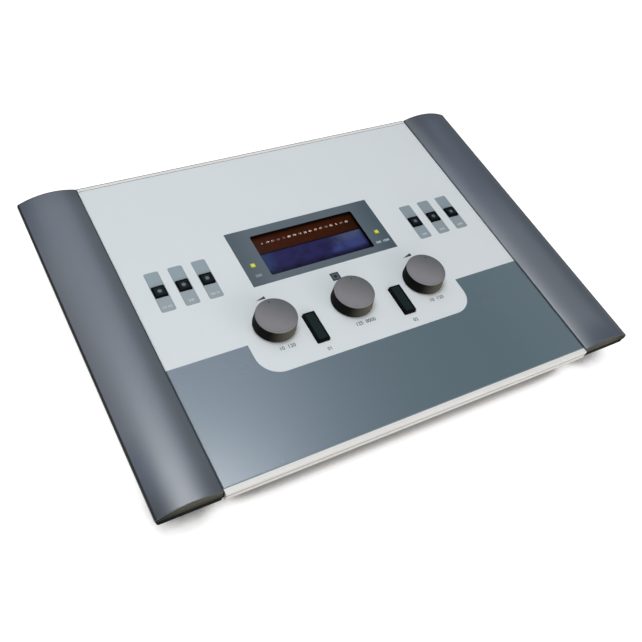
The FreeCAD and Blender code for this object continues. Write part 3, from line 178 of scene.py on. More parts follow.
class Surface:
    # the nodes of a new material with this name, or of an owner such as the world

    def __init__(self, name, owner=None):
        self.material = owner or bpy.data.materials.new(name)
        self.material.use_nodes = True
        self.tree = self.material.node_tree
        self.tree.nodes.clear()
        self.spotNode = None

    def node(self, kind, settings=None, inputs=None, output=0):
        made = self.tree.nodes.new("ShaderNode" + kind)
        for name, setting in (settings or {}).items():
            setattr(made, name, setting)
        pairs = inputs.items() if isinstance(inputs, dict) else enumerate(inputs or [])
        for key, amount in pairs:
            if isinstance(amount, Value):
                self.tree.links.new(amount.socket, made.inputs[key])
            elif amount is not None:
                made.inputs[key].default_value = amount
        return Value(self, made.outputs[output]) if len(made.outputs) else None

    def spot(self):
        # the object's own coordinates in millimetres
        if self.spotNode is None:
            here = self.node("TexCoord", output="Object")
            inputs = {0: here, "Scale": 1 / mm}
            self.spotNode = self.node("VectorMath", {"operation": "SCALE"}, inputs)
        return self.spotNode

    def axes(self, names="XYZ"):
        return [self.node("SeparateXYZ", inputs=[self.spot()], output=name) for name in names]

    def panelAxes(self):
        # millimetres on the panel, for a solid whose own coordinates are the world's
        offset = self.node("VectorMath", {"operation": "SUBTRACT"}, [self.spot(), panelZero / mm])
        return [self.along(offset, way) for way in (rightWay, panelBack, panelUp)]

    def along(self, vector, way):
        return self.node("VectorMath", {"operation": "DOT_PRODUCT"}, [vector, way], output="Value")

    def noise(self, grain, detail=2.0, rough=0.5, stretch=None):
        # soft random value from 0 to 1, its blobs about grain millimetres across
        spot = self.spot()
        if stretch:
            spot = self.node("VectorMath", {"operation": "MULTIPLY"}, [spot, stretch])
        inputs = {"Vector": spot, "Scale": 1 / grain, "Detail": detail, "Roughness": rough}
        return self.node("TexNoise", inputs=inputs)

    def length(self, x, y):
        both = self.node("CombineXYZ", inputs=[x, y])
        return self.node("VectorMath", {"operation": "LENGTH"}, [both], output="Value")

    def mix(self, factor, first, second):
        return self.node("Mix", {"data_type": "RGBA"}, {0: factor, 6: first, 7: second}, output=2)

    def done(self, colour, rough, grain=None, depth=0, more=None):
        # a grain from 0 to 1 stands for a relief of depth millimetres
        sockets = {"Base Color": colour, "Roughness": rough, **(more or {})}
        if grain is not None:
            sockets["Normal"] = self.node("Bump", inputs={"Height": grain, "Distance": depth * mm})
        self.node("OutputMaterial", inputs=[self.node("BsdfPrincipled", inputs=sockets)])
        return self


def ink(red, green, blue):
    # a colour given in screen values from 0 to 255
    parts = [part / 255 for part in (red, green, blue)]
    plain = [part / 12.92 if part <= 0.04045 else ((part + 0.055) / 1.055) ** 2.4 for part in parts]
    return (*plain, 1)


def shade(colour, amount):
    return (*(min(1, part * amount) for part in colour[:3]), 1)


def gloss(level):
    # how strongly a surface mirrors; 0.5 is usual for plastic
    return {"Specular IOR Level": level}


def moulded(name, colour, rough=0.5, grain=0.5, depth=0.012, drift=0.05, driftSize=30, shine=0.5):
    # moulded plastic: spark-eroded grain, a slow drift of tone and slightly uneven gloss
    surface = Surface(name)
    drifting = surface.noise(driftSize, 3)
    fine = surface.noise(grain, 2, 0.6)
    tone = surface.mix(drifting, shade(colour, 1 - drift), shade(colour, 1 + drift))
    uneven = rough - 0.06 + surface.noise(driftSize / 3) * 0.08 + fine * 0.04
    return surface.done(tone, uneven, fine, depth, gloss(shine))


def metal(name, colour, rough, stretch=(1, 1, 1)):
    # plated or brushed metal with faint marks
    surface = Surface(name)
    marks = surface.noise(0.25, 4, 0.7, stretch)
    cloud = surface.noise(6, 3)
    tone = surface.mix(cloud, shade(colour, 0.88), shade(colour, 1.06))
    uneven = rough - 0.05 + marks * 0.12 + cloud * 0.05
    return surface.done(tone, uneven, marks, 0.006, {"Metallic": 1})


def printed(name, colour, rough=0.42):
    # ink under a satin film: even colour, very fine orange peel
    surface = Surface(name)
    tone = surface.mix(surface.noise(45), shade(colour, 0.975), shade(colour, 1.025))
    uneven = rough - 0.01 + surface.noise(25) * 0.02
    return surface.done(tone, uneven, surface.noise(0.9), 0.002)


slate = {
    # the left and right tones are painted light: a bluish tint of the reflection at the left end, a
    # paler tone at the right end
    "middle": ink(84, 103, 114), "left": ink(80, 101, 120), "right": ink(94, 112, 121),
    "leftEnd": (-130, 10), "rightEnd": (70, 150),
}


def slateFinish():
    # glossier slate ink, bluer towards its left end as a painted tint of the reflection there, and a
    # little paler at its right end as painted light
    surface = Surface("slateInk")
    x = surface.axes("X")[0]
    drifting = surface.noise(45)
    tone = surface.mix(1 - x.step(*slate["leftEnd"]), slate["middle"], slate["left"])
    tone = surface.mix(x.step(*slate["rightEnd"]), tone, slate["right"])
    tone = surface.mix(drifting * 0.06, tone, slate["right"])
    return surface.done(tone, 0.26 + drifting * 0.02, surface.noise(3.5), 0.003, {"IOR": 2})


casing = {
    # side is a slate-toned painted shade of the gap beside the wings, laid on the case's side rims
    "white": ink(219, 217, 215), "whiteLight": ink(226, 225, 223), "side": ink(62, 74, 82),
    # seam and edge are painted shade: in the parting gap, and in the groove behind the film and on the
    # rear edge
    "seam": ink(104, 97, 90), "edge": ink(112, 112, 116),
    "top": (-0.6, -0.2),                        # the height over which marks on the top fade in
    "seamBottom": (-3.6, -3.52), "seamTop": (-3.0, -2.9),
    "rimShadeStart": (149.4, 149.6), "rimShadeFront": (-0.2, 0.2), "rimShadeSoft": 0.3,
    "grooveShadeFront": (-0.2, 0), "grooveShadeRear": (0.5, 0.7), "groove": 0.6, "rearEdgeShade": (267.2, 267.5),
    "lineFront": (-0.85, -0.75), "lineRear": (-0.1, 0.1),
}


def caseFinish():
    # white moulding with painted shade in its parting gap, in the groove behind the film and on its rear
    # edge, a slate-toned painted shade of the gap beside the wings on its narrow side rims, and a strip
    # of slate ink along its front edge
    surface = Surface("caseWhite")
    x, y, z = surface.panelAxes()
    grain = surface.noise(0.5, 2, 0.6)
    cloud = surface.noise(40)
    top = z.step(*casing["top"])
    join, soft = layout["slateRear"], casing["rimShadeSoft"]
    # painted shade of the gap beside the wings, slate-toned, on the side rims along the slate film
    side = abs(x).step(*casing["rimShadeStart"]) * y.band(casing["rimShadeFront"], (join - soft, join + soft))
    # painted shade in the groove behind the film's rear edge
    groove = (y - layout["filmDepth"]).band(casing["grooveShadeFront"], casing["grooveShadeRear"]) * top
    line = y.band(casing["lineFront"], casing["lineRear"]) * top
    colour = surface.mix(cloud, casing["white"], casing["whiteLight"])
    colour = surface.mix(side * top, colour, casing["side"])
    # painted shade in the parting gap, on the flange seen through it
    colour = surface.mix(z.band(casing["seamBottom"], casing["seamTop"]), colour, casing["seam"])
    # painted shade on that groove and on the rounded rear edge
    rear = (groove * casing["groove"]).most(y.step(*casing["rearEdgeShade"]))
    colour = surface.mix(rear, colour, casing["edge"])
    colour = surface.mix(line, colour, slate["middle"])
    return surface.done(colour, 0.4 + grain * 0.05 + cloud * 0.05, grain, 0.01)


finishes = {
    "caseWhite": caseFinish(),
    "slateInk": slateFinish(),
    "filmPale": printed("filmPale", ink(212, 217, 220)),
    "black": moulded("blackPlastic", ink(7, 7, 7), rough=0.62, shine=0.12),
    "foot": moulded("footRubber", ink(38, 38, 38), rough=0.8, grain=0.4, depth=0.03),
    "steel": metal("zincSteel", ink(190, 190, 192), 0.35),
    "nickel": metal("nickelPlate", ink(205, 203, 198), 0.22),
    "aluminium": metal("bareAluminium", ink(205, 206, 208), 0.35, stretch=(1, 8, 1)),
    "board": moulded("boardGreen", ink(30, 98, 62), rough=0.3, grain=1.2, depth=0.02, drift=0.12,
                     driftSize=4),
    "cable": moulded("cableGrey", ink(150, 150, 152)),
    "coil": moulded("coilTape", ink(176, 132, 58), rough=0.35, grain=0.8, depth=0.03),
    "plate": moulded("plateGrey", ink(62, 63, 66), grain=0.35, depth=0.02),
    "cone": moulded("conePaper", ink(52, 48, 44), rough=0.85, grain=0.6, depth=0.05),
}
markInks = {
    # colour and roughness of each ink that marks are printed in
    "symbolInk": (ink(40, 50, 62), 0.45), "symbolPale": (ink(74, 86, 100), 0.45),
    "symbolCore": (ink(8, 9, 12), 0.45), "textInk": (ink(54, 60, 68), 0.5),
    "paleText": (ink(196, 206, 211), 0.5), "stripText": (ink(188, 197, 202), 0.5),
    "dimText": (ink(158, 168, 174), 0.5),
}
for inkName, (inkColour, inkRough) in markInks.items():
    finishes[inkName] = printed(inkName, inkColour, inkRough)
print("finishes made:", len(finishes))


# meshes

def ring(width, depth, corner, z):
    # points round a rounded rectangle, seen from above against the clock
    steps = 6  # to a corner
    points = []
    for quarter, (right, rear) in enumerate(((1, 1), (-1, 1), (-1, -1), (1, -1))):
        middle = Vector((right * (width / 2 - corner), rear * (depth / 2 - corner), z))
        for step in range(steps + 1):
            angle = math.pi / 2 * (quarter + step / steps)
            points.append(middle + Vector((math.cos(angle), math.sin(angle), 0)) * corner)
    return points


def circle(radius, z, steps=96):
    angles = [2 * math.pi * step / steps for step in range(steps)]
    return [Vector((radius * math.cos(angle), radius * math.sin(angle), z)) for angle in angles]


def loft(rings):
    # skin through rings of the same number of points, with its first and last ring capped
    mesh = bpy.data.meshes.new("loft")
    shell = bmesh.new()
    rows = [[shell.verts.new(point * mm) for point in points] for points in rings]
    for low, high in zip(rows, rows[1:]):
        for index in range(len(low)):
            after = (index + 1) % len(low)
            shell.faces.new((low[index], low[after], high[after], high[index]))
    shell.faces.new(list(reversed(rows[0])))
    shell.faces.new(rows[-1])
    shell.normal_update()
    bmesh.ops.recalc_face_normals(shell, faces=shell.faces)
    shell.to_mesh(mesh)
    shell.free()
    return mesh


def arcPoints(middle, radius, start, end, steps):
    spots = []
    for step in range(steps + 1):
        angle = math.radians(start + (end - start) * step / steps)
        spots.append((middle[0] + radius * math.cos(angle), middle[1] + radius * math.sin(angle)))
    return spots


def roundedRim(width, depth, corner, top, edge, cornerShare=0):
    # rings that round a block's upper rim; cornerShare is how fast its corners tighten
    arc = arcPoints((-edge, top - edge), edge, 0, 90, 6)
    return [ring(width + 2 * x, depth + 2 * x, corner + x * cornerShare, z) for x, z in arc]


def roundedCorners(corners, steps=12):
    # an outline from (x, y, radius) corners, each cut back and joined by an arc
    outline = []
    for index, (x, y, radius) in enumerate(corners):
        here = Vector((x, y))
        if radius == 0:
            outline.append(here)
            continue
        before = (Vector(corners[index - 1][:2]) - here).normalized()
        after = (Vector(corners[(index + 1) % len(corners)][:2]) - here).normalized()
        spread = before.angle(after)
        reach = radius / math.tan(spread / 2)
        middle = here + (before + after).normalized() * radius / math.sin(spread / 2)
        start = here + before * reach - middle
        end = here + after * reach - middle
        turn = start.angle_signed(end)
        for step in range(steps + 1):
            outline.append(middle + Matrix.Rotation(-turn * step / steps, 2) @ start)
    return outline


def box2d(x, y, width, depth, corner=0):
    spots = [(x + side * width / 2, y + way * depth / 2, corner)
             for side, way in ((-1, -1), (1, -1), (1, 1), (-1, 1))]
    return roundedCorners(spots, 6)


def disc2d(x, y, radius):
    angles = [2 * math.pi * step / 64 for step in range(64)]
    return [Vector((x + radius * math.cos(angle), y + radius * math.sin(angle))) for angle in angles]


def curveMesh(curve, place):
    # the mesh of a curve or a text, moved to this place; the curve itself goes
    holder = bpy.data.objects.new("curve", curve)
    mesh = bpy.data.meshes.new_from_object(holder)
    bpy.data.objects.remove(holder)
    bpy.data.curves.remove(curve)
    mesh.transform(Matrix.Translation(place))
    return mesh


def flat(outlines, low, high, edge=0.0):
    # a plate between two levels; an outline inside another one is a hole. edge rounds its rims
    curve = bpy.data.curves.new("flat", "CURVE")
    curve.dimensions = "2D"
    curve.fill_mode = "BOTH"
    curve.extrude = ((high - low) / 2 - edge) * mm
    curve.bevel_depth = edge * mm
    curve.offset = -edge * mm
    curve.bevel_resolution = 2
    for outline in outlines:
        spline = curve.splines.new("POLY")
        spline.points.add(len(outline) - 1)
        for point, spot in zip(spline.points, outline):
            point.co = (spot[0] * mm, spot[1] * mm, 0, 1)
        spline.use_cyclic_u = True
    return curveMesh(curve, Vector((0, 0, (low + high) / 2 * mm)))


def layer(*outlines, height=1):
    # an ink layer on the film, its height in ordinary layers
    return flat(outlines, -layout["printDepth"], layout["printHeight"] * height)


def piece(name, mesh, finish, body="housing", at=None, sharp=35):
    mesh.name = name
    for polygon in mesh.polygons:
        polygon.use_smooth = True
    mesh.set_sharp_from_angle(angle=math.radians(sharp))
    mesh.materials.clear()
    mesh.materials.append(finish.material)
    thing = placed(name, mesh, panelFrame if at is None else at)
    weighing = thing.modifiers.new("even shading", "WEIGHTED_NORMAL")
    weighing.keep_sharp = True
    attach(thing, body)
    return thing


def inked(name, mesh, finish):
    # a printed layer on the panel
    return piece(name, mesh, finish)


# finishes on the solids that are shown as they are

nodeFinishes = {
    "caseWhite": "upper_case lower_case",
    "foot": "rubber_feet",
    "filmPale": "panel_film",
    "cable": "ribbon_cable",
    "coil": "output_transformers",
    "cone": "speaker_cone",
    "board": "display_board control_board main_board",
    "aluminium": "filter_capacitors regulator_sink",
    "nickel": "display_spacers encoder_nuts jack_nuts data_port",
    "plate": "connector_plate wing_cover_left wing_cover_right knob_left knob_center knob_right",
    "steel": "display_holder encoder_bodies encoder_shaft_left encoder_shaft_center"
             " encoder_shaft_right key_bracket_left key_bracket_right key_pivot_pins status_lights"
             " control_board_screws main_board_screws connector_plate_screws case_screws"
             " wing_screws monitor_speaker",
    "black": "wing_base_left wing_base_right display_frame display_cell display_window"
             " button_switches key_switches board_chips control_header main_header"
             " phone_jack_left phone_jack_right bone_jack response_jack power_inlet"
             " interrupter_key_left interrupter_key_right push_button_1 push_button_2"
             " push_button_3 push_button_4 push_button_5 push_button_6",
}
for finishName, nodeNames in nodeFinishes.items():
    for nodeName in nodeNames.split():
        solid = nodes[nodeName].data
        solid.materials.clear()
        solid.materials.append(finishes[finishName].material)


# studio

studio = {
    "worldLight": 0.2,
    "worldTurn": 0.25, "brightSide": (-0.8, -0.6, 0),       # the left and front are brighter
    "floorColour": 0.8, "floorSeen": 0.42, "floorGlow": 0.9, "floorReach": 6,
    "shadowReach": 0.03, "shadowTones": (0.325, 0.535),
    # the floor's shadow is painted deeper under the wings
    "wingShadow": 0.19, "wingShadowStart": (146, 168),      # the floor is darker under the wings
}
lamps = [
    # name, place, size, power, colour
    ("keyLamp", (-0.12, -0.01, 1.05), (0.58, 0.36), 5.45, (0.94, 0.98, 1)),
    ("skyLamp", (-0.05, 0.5, 1.25), (1.1, 1.1), 3.9, (0.95, 0.98, 1)),
    ("frontLamp", (-0.1, -1.2, 0.22), (1.6, 0.5), 5.2, (1, 0.95, 0.91)),
    ("fillLamp", (0.75, -1.0, 0.34), (0.6, 0.6), 3.8, (1, 0.94, 0.86)),
]


def addLamp(name, place, size, power, colour):
    # aimed at the middle of the floor, its first size along x
    lamp = bpy.data.lights.new(name, "AREA")
    lamp.energy = power
    lamp.color = colour
    lamp.shape = "RECTANGLE"
    lamp.size, lamp.size_y = size
    back = Vector(place).normalized()
    side = (rightWay - back * back.x).normalized()
    placed(name, lamp, axesMatrix(side, back.cross(side), back, place))


def grey(level):
    return (level, level, level, 1)


def addWorld():
    # the camera sees white, and the light of a dim sky falls on everything else
    world = bpy.data.worlds.new("studio")
    bpy.context.scene.world = world
    sky = Surface("studio", world)
    slant = sky.along(sky.node("TexCoord", output="Generated"), studio["brightSide"])
    light, turn = studio["worldLight"], studio["worldTurn"]
    limits = {"Value": slant, "From Min": -1, "To Min": light * (1 - turn), "To Max": light * (1 + turn)}
    strength = sky.node("MapRange", inputs=limits)
    soft = sky.node("Background", inputs={"Color": grey(1), "Strength": strength})
    white = sky.node("Background", inputs={"Color": grey(1), "Strength": 1})
    seen = sky.node("LightPath", output="Is Camera Ray")
    sky.node("OutputWorld", inputs=[sky.node("MixShader", inputs=[seen, soft, white])])


def addFloor():
    surface = Surface("floorWhite")
    seen = surface.node("LightPath", output="Is Camera Ray")
    paint = surface.mix(seen, grey(studio["floorColour"]), grey(studio["floorSeen"]))
    matt = surface.node("BsdfDiffuse", inputs={"Color": paint})
    reach = {"Distance": studio["shadowReach"]}
    airy = surface.node("AmbientOcclusion", {"samples": 16}, reach, output="AO")
    x = surface.axes("X")[0]
    # painted shadow: the occlusion is lowered under the wings
    airy = airy - abs(x).step(*studio["wingShadowStart"]) * studio["wingShadow"]
    lift = airy.step(*studio["shadowTones"]) * studio["floorGlow"]
    glow = surface.node("Emission", inputs={"Color": grey(1), "Strength": seen * lift})
    surface.node("OutputMaterial", inputs=[surface.node("AddShader", inputs=[matt, glow])])
    mesh = bpy.data.meshes.new("floor")
    corners = [(x * studio["floorReach"], y * studio["floorReach"], 0)
               for x, y in ((-1, -1), (1, -1), (1, 1), (-1, 1))]
    mesh.from_pydata(corners, [], [(0, 1, 2, 3)])
    mesh.materials.append(surface.material)
    floor = placed("floor", mesh)


addWorld()
addFloor()
for lampValues in lamps:
    addLamp(*lampValues)
print("studio lit")


# printed film

def tongueCorners():
    side, front, corner = picked(layout, "tongueHalf tongueFront tongueCorner")
    return [(-side, layout["slateRear"], 0), (-side, front, corner), (side, front, corner),
            (side, layout["slateRear"], 0)]


buttonPlaces = [side * layout["stripReach"] + step * layout["stripPitch"]
                for side in (-1, 1) for step in (-1, 0, 1)]
openings = {
    "button": (10.2, 10.5), "key": (10.6, 26.6), "corner": 0.6,
    "light": (4.2, 4.2), "lightCorner": 0.4, "knobNut": 6.4,
}


def bezelOutline():
    front, rear = layout["bezelFront"], layout["bezelRear"]
    return box2d(0, (front + rear) / 2, layout["bezelWidth"], rear - front)


def buttonOutline(x):
    return box2d(x, layout["buttonPlace"], *openings["button"], openings["corner"])


def addFilm():
    half, rear, thick = layout["filmWidth"] / 2, layout["filmDepth"], layout["filmThickness"]
    join = layout["slateRear"]
    outer = [(-half, join, 0), *tongueCorners(), (half, join, 0), (half, rear, 0), (-half, rear, 0)]
    holes = [bezelOutline()]
    for step in (-1, 0, 1):
        holes.append(disc2d(step * layout["knobPitch"], layout["knobPlace"], openings["knobNut"]))
    for label, side in sides:
        holes.append(box2d(side * layout["keyReach"], layout["keyPlace"], *openings["key"],
                           openings["corner"]))
    holes += [buttonOutline(x) for x in buttonPlaces]
    pale = flat([roundedCorners(outer), *holes], -thick, 0)
    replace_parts(inked("film_pale", pale, finishes["filmPale"]), "panel_film")
    front = [(-half, 0, 0), (half, 0, 0), (half, join, 0), *reversed(tongueCorners()), (-half, join, 0)]
    inked("film_slate", flat([roundedCorners(front)], -thick, 0), finishes["slateInk"])


bezel = {
    "middle": ink(86, 98, 107), "end": ink(66, 80, 91), "endStart": (40, 64),
    # cut is painted shade for the film's cut edge inside the window recess
    "cut": ink(9, 9, 12), "recessShadeTop": (-0.12, -0.02),
}


def bezelFinish():
    # slate ink round the display, a little darker at its ends, and black on the cut edge of the film as
    # painted shade of the window's recess
    surface = Surface("bezelInk")
    x, z = surface.axes("XZ")
    shaded = abs(x).step(*bezel["endStart"]) * 0.8 + surface.noise(16, 3) * 0.2
    tone = surface.mix(shaded, bezel["middle"], bezel["end"])
    # painted shade: the cut edge of the film in the window recess is black
    tone = surface.mix(z.step(*bezel["recessShadeTop"]), bezel["cut"], tone)
    return surface.done(tone, 0.34 + surface.noise(9) * 0.06, surface.noise(0.9), 0.004)


def addBezel():
    window = picked(layout, "windowPlace windowWidth windowDepth windowCorner")
    outlines = [bezelOutline(), box2d(0, *window)]
    outlines += [box2d(side * layout["lightReach"], layout["lightPlace"], *openings["light"],
                       openings["lightCorner"]) for label, side in sides]
    mesh = flat(outlines, -layout["filmThickness"], layout["printHeight"])
    inked("bezel_print", mesh, bezelFinish())


addFilm()
addBezel()
print("film laid")


# label strips under the push buttons

strips = {
    "width": 11, "front": 136.9, "rear": 173.5, "corner": 1.5,
    "rearInk": ink(140, 154, 163), "frontInk": ink(146, 156, 163), "rimInk": ink(126, 139, 147),
    "rimDepth": (0.9, 0.1), "rim": 0.6, "rightShade": 0.45, "rightStart": (0, 90),
}


def stripFinish():
    # its sides are a little darker than its middle, and so are the strips on the right
    surface = Surface("stripInk")
    x, y = surface.axes("XY")
    along = y.step(strips["front"], strips["rear"])
    tone = surface.mix(along, strips["frontInk"], strips["rearInk"])
    halfPitch, halfWidth = layout["stripPitch"] / 2, strips["width"] / 2
    away = abs(abs(abs(abs(x) - layout["stripReach"]) - halfPitch) - halfPitch)
    rim = away.step(*(halfWidth - depth for depth in strips["rimDepth"])) * strips["rim"]
    shaded = x.step(*strips["rightStart"]) * strips["rightShade"]
    mottled = surface.mix((surface.noise(5, 3) * 0.25 + rim).most(shaded), tone, strips["rimInk"])
    return surface.done(mottled, 0.4 + surface.noise(3) * 0.06, surface.noise(0.8), 0.004)


def addStrips():
    finish = stripFinish()
    middle = (strips["front"] + strips["rear"]) / 2
    depth = strips["rear"] - strips["front"]
    for number, x in enumerate(buttonPlaces, start=1):
        outer = box2d(x, middle, strips["width"], depth, strips["corner"])
        inked(f"strip_{number}", layer(outer, buttonOutline(x)), finish)


addStrips()
print("strips laid")


# printed numbers and symbols

def textMesh(text, height, x, y, level):
    curve = bpy.data.curves.new("text", "FONT")
    curve.body = text
    curve.size = height * mm
    curve.align_x = "CENTER"
    curve.align_y = "CENTER"
    curve.offset = textWeight * mm
    curve.extrude = layout["printHeight"] / 2 * mm
    curve.resolution_u = 4
    return curveMesh(curve, Vector((x, y, level)) * mm)


textWeight = 0.05   # how far each stroke is thickened to either side
prints = [
    # name, text, x, y, height, level, finish
    ("mark_knob_left", "10  120", -64.2, 80.4, 4.2, 0.02, "textInk"),
    ("mark_knob_center", "125  8000", 0.5, 80.2, 4.2, 0.02, "textInk"),
    ("mark_knob_right", "10  120", 64.6, 80.4, 4.2, 0.02, "textInk"),
    ("mark_key_left", "01", -36.0, 68.6, 4.0, 0.02, "textInk"),
    ("mark_key_right", "02", 38.0, 68.8, 4.0, 0.02, "textInk"),
    ("mark_light_left", "250", -55, 145.6, 3.3, 0.05, "dimText"),
    ("mark_light_right", "500  1000", 54.6, 145.4, 3.0, 0.05, "paleText"),
]
buttonMarks = {
    "place": 141.0, "level": 0.05,
    "texts": ["125 250", "500", "750 10", "1000", "2000", "4000"],
    "heights": [2.3, 2.9, 2.5, 2.7, 2.7, 2.7],
}


def addPrints():
    for name, text, x, y, height, level, finish in prints:
        inked(name, textMesh(text, height, x, y, level), finishes[finish])
    rows = zip(buttonPlaces, buttonMarks["texts"], buttonMarks["heights"])
    for number, (x, text, height) in enumerate(rows, start=1):
        mesh = textMesh(text, height, x, buttonMarks["place"], buttonMarks["level"])
        inked(f"mark_button_{number}", mesh, finishes["stripText"])


symbols = {
    "wedge_left": ((-67.9, 124.5), (-59.9, 124.3), (-60.1, 126.8)),
    "wedge_right": ((60.9, 124.3), (69.2, 124.4), (69.2, 127.2)),
    "squarePlace": 125.8, "squareSize": 7.4, "squareInner": 4.8, "dotRadius": 1.45,
}


def addSymbols():
    for label, side in sides:
        corners = [Vector(corner) for corner in symbols[f"wedge_{label}"]]
        inked(f"wedge_{label}", layer(corners), finishes["symbolInk"])
    place, size, inner = picked(symbols, "squarePlace squareSize squareInner")
    inked("square_mark", layer(box2d(0, place, size, size)), finishes["symbolInk"])
    inked("square_inner", layer(box2d(0, place, inner, inner), height=1.5), finishes["symbolPale"])
    dot = layer(disc2d(0, place, symbols["dotRadius"]), height=2)
    inked("square_dot", dot, finishes["symbolCore"])


addPrints()
addSymbols()
print("marks printed")


# side wings
wing = {
    "start": 150.4, "end": 195.0, "front": -3.4, "rear": 267.3,
    "arc": 56, "innerHeight": 1.2, "outerDrop": 2.0, "lip": 2.4, "skirt": 5.6, "slope": 1.2,
    "cornerRadius": 1.5, "endRadius": 1.1, "innerEdge": 0.6, "outerEdge": 0.6,
    "sinkHeight": 3,            # above the skirt, the part that rounds off at the ends
    "skin": ink(86, 95, 109), "skinCool": ink(80, 92, 104), "skinWarm": ink(91, 96, 112),
    # the pale, dull and dark skin tones are painted light and shade
    "skinLitPale": ink(107, 112, 121), "skinShadeDull": ink(74, 81, 86), "skinShadeDark": ink(58, 64, 75),
    # seam is the black that painted shade darkens towards, and the black of the lip's lower part
    "lipInk": ink(24, 27, 26), "seam": ink(6, 7, 7),
    # how much painted shade darkens each part and where it starts
    "ends": 0.2, "endShadeFront": 26, "endShadeRear": 22,
    "turn": 0.25, "turnShadeStart": 168, "edge": 0.55, "edgeShadeStart": 186,
    "corner": 0.45, "cornerShadeStart": 176, "cornerShadeRear": 30,
    # soft edges, counted from the rear end and the inner side (painted shade), the outer side and the
    # arch's outer foot
    "rearShade": (-1.6, -0.9), "innerShade": (0.5, 1.2), "lipSide": (-1.6, -1.0), "lipFoot": (-1.0, -0.7),
    # the next height is where painted shade on the right wing's inner side stops
    "innerShadeTop": (-0.3, 0.1),    # the right wing is dark only below this height
}
wingPatches = [
    # painted light and shade: paler where a wing faces the light, duller on the left wing's inner part,
    # darker towards the right wing's inner rear
    # tone, amount, then the soft left, right, front and rear edges
    ("skinLitPale", 0.75, None, (-190, -178), (30, 62), (190, 255)),
    ("skinLitPale", 0.65, (0, 1), (174, 188), (0, 20), (110, 185)),
    ("skinShadeDull", 0.6, (-166, -156), (-1, 1), None, None),
    ("skinShadeDark", 0.7, (0, 1), (158, 172), (180, 262), None),
]
wingTip = {
    "depth": 0.5,               # how far the front end's own finish reaches back
    # top is painted light; outer and foot are painted shade
    "top": ink(84, 84, 76), "middle": ink(66, 66, 58), "outer": ink(48, 50, 44), "foot": ink(4, 4, 3),
    "topLightHeight": (-1.5, 2), "outerShadeStart": (176, 193), "footHeight": (1.2, 2.8), "innerShadeDepth": (0.5, 1.7),
}


def softCorner(before, corner, after, reach):
    # a corner rounded by a short curve that starts and ends at reach from it
    start = corner + (before - corner).normalized() * reach
    end = corner + (after - corner).normalized() * reach
    shares = [step / 5 for step in range(6)]
    return [start * (1 - share) ** 2 + corner * 2 * share * (1 - share) + end * share ** 2
            for share in shares]


def wingSection():
    # (x, z) round the section, from the inner foot up, over the arch and down the outer lip
    inner = Vector((wing["start"], wing["innerHeight"]))
    outer = Vector((wing["end"], -wing["outerDrop"]))
    chord = inner - outer
    side = Vector((-chord.y, chord.x)).normalized()
    if side.y > 0:
        side = -side
    middle = (inner + outer) / 2 + side * math.sqrt(wing["arc"] ** 2 - (chord.length / 2) ** 2)
    first = math.atan2(inner.y - middle.y, inner.x - middle.x)
    last = math.atan2(outer.y - middle.y, outer.x - middle.x)
    steps = 40
    arch = []
    for step in range(steps + 1):
        angle = first + (last - first) * step / steps
        arch.append(middle + Vector((math.cos(angle), math.sin(angle))) * wing["arc"])
    lipEnd = Vector((wing["end"], -wing["outerDrop"] - wing["lip"]))
    outline = [Vector((wing["start"], -wing["skirt"]))]
    outline += softCorner(Vector((wing["start"], 0)), arch[0], arch[1], wing["innerEdge"])
    outline += arch[2:-2]
    outline += softCorner(arch[-2], arch[-1], lipEnd, wing["outerEdge"])
    outline += [lipEnd, Vector((wing["end"] - wing["slope"], -wing["skirt"]))]
    return outline


def wingMesh(side):
    outline = wingSection()
    width = wing["end"] - wing["start"]

    def shrink(radius, inward):
        # how far a quarter round of this radius falls short at a depth inward
        left = max(0, radius - inward)
        return radius - math.sqrt(radius ** 2 - left ** 2)

    def section(place, inward):
        squeeze = shrink(wing["cornerRadius"], inward)
        sink = shrink(wing["endRadius"], inward)
        points = []
        for spot in outline:
            x = wing["start"] + (spot.x - wing["start"]) * (width - squeeze) / width
            share = max(0, min(1, (spot.y + wing["skirt"]) / wing["sinkHeight"]))
            points.append(Vector((side * x, place, spot.y - sink * share)))
        return points

    inwards = [0, 0.02, 0.07, 0.15, 0.28, 0.45, 0.65, 0.85, 1.1, 1.5]
    rings = [section(wing["front"] + inward, inward) for inward in inwards]
    rings += [section(wing["rear"] - inward, inward) for inward in reversed(inwards)]
    return loft(rings)


def paintedLightPatch(x, y, left, right, front, rear):
    # 1 inside the given edges; an edge that is None is left open
    mask = 1
    for axis, rise, fall in ((x, left, right), (y, front, rear)):
        if rise:
            mask = axis.step(*rise) * mask
        if fall:
            mask = (1 - axis.step(*fall)) * mask
    return mask


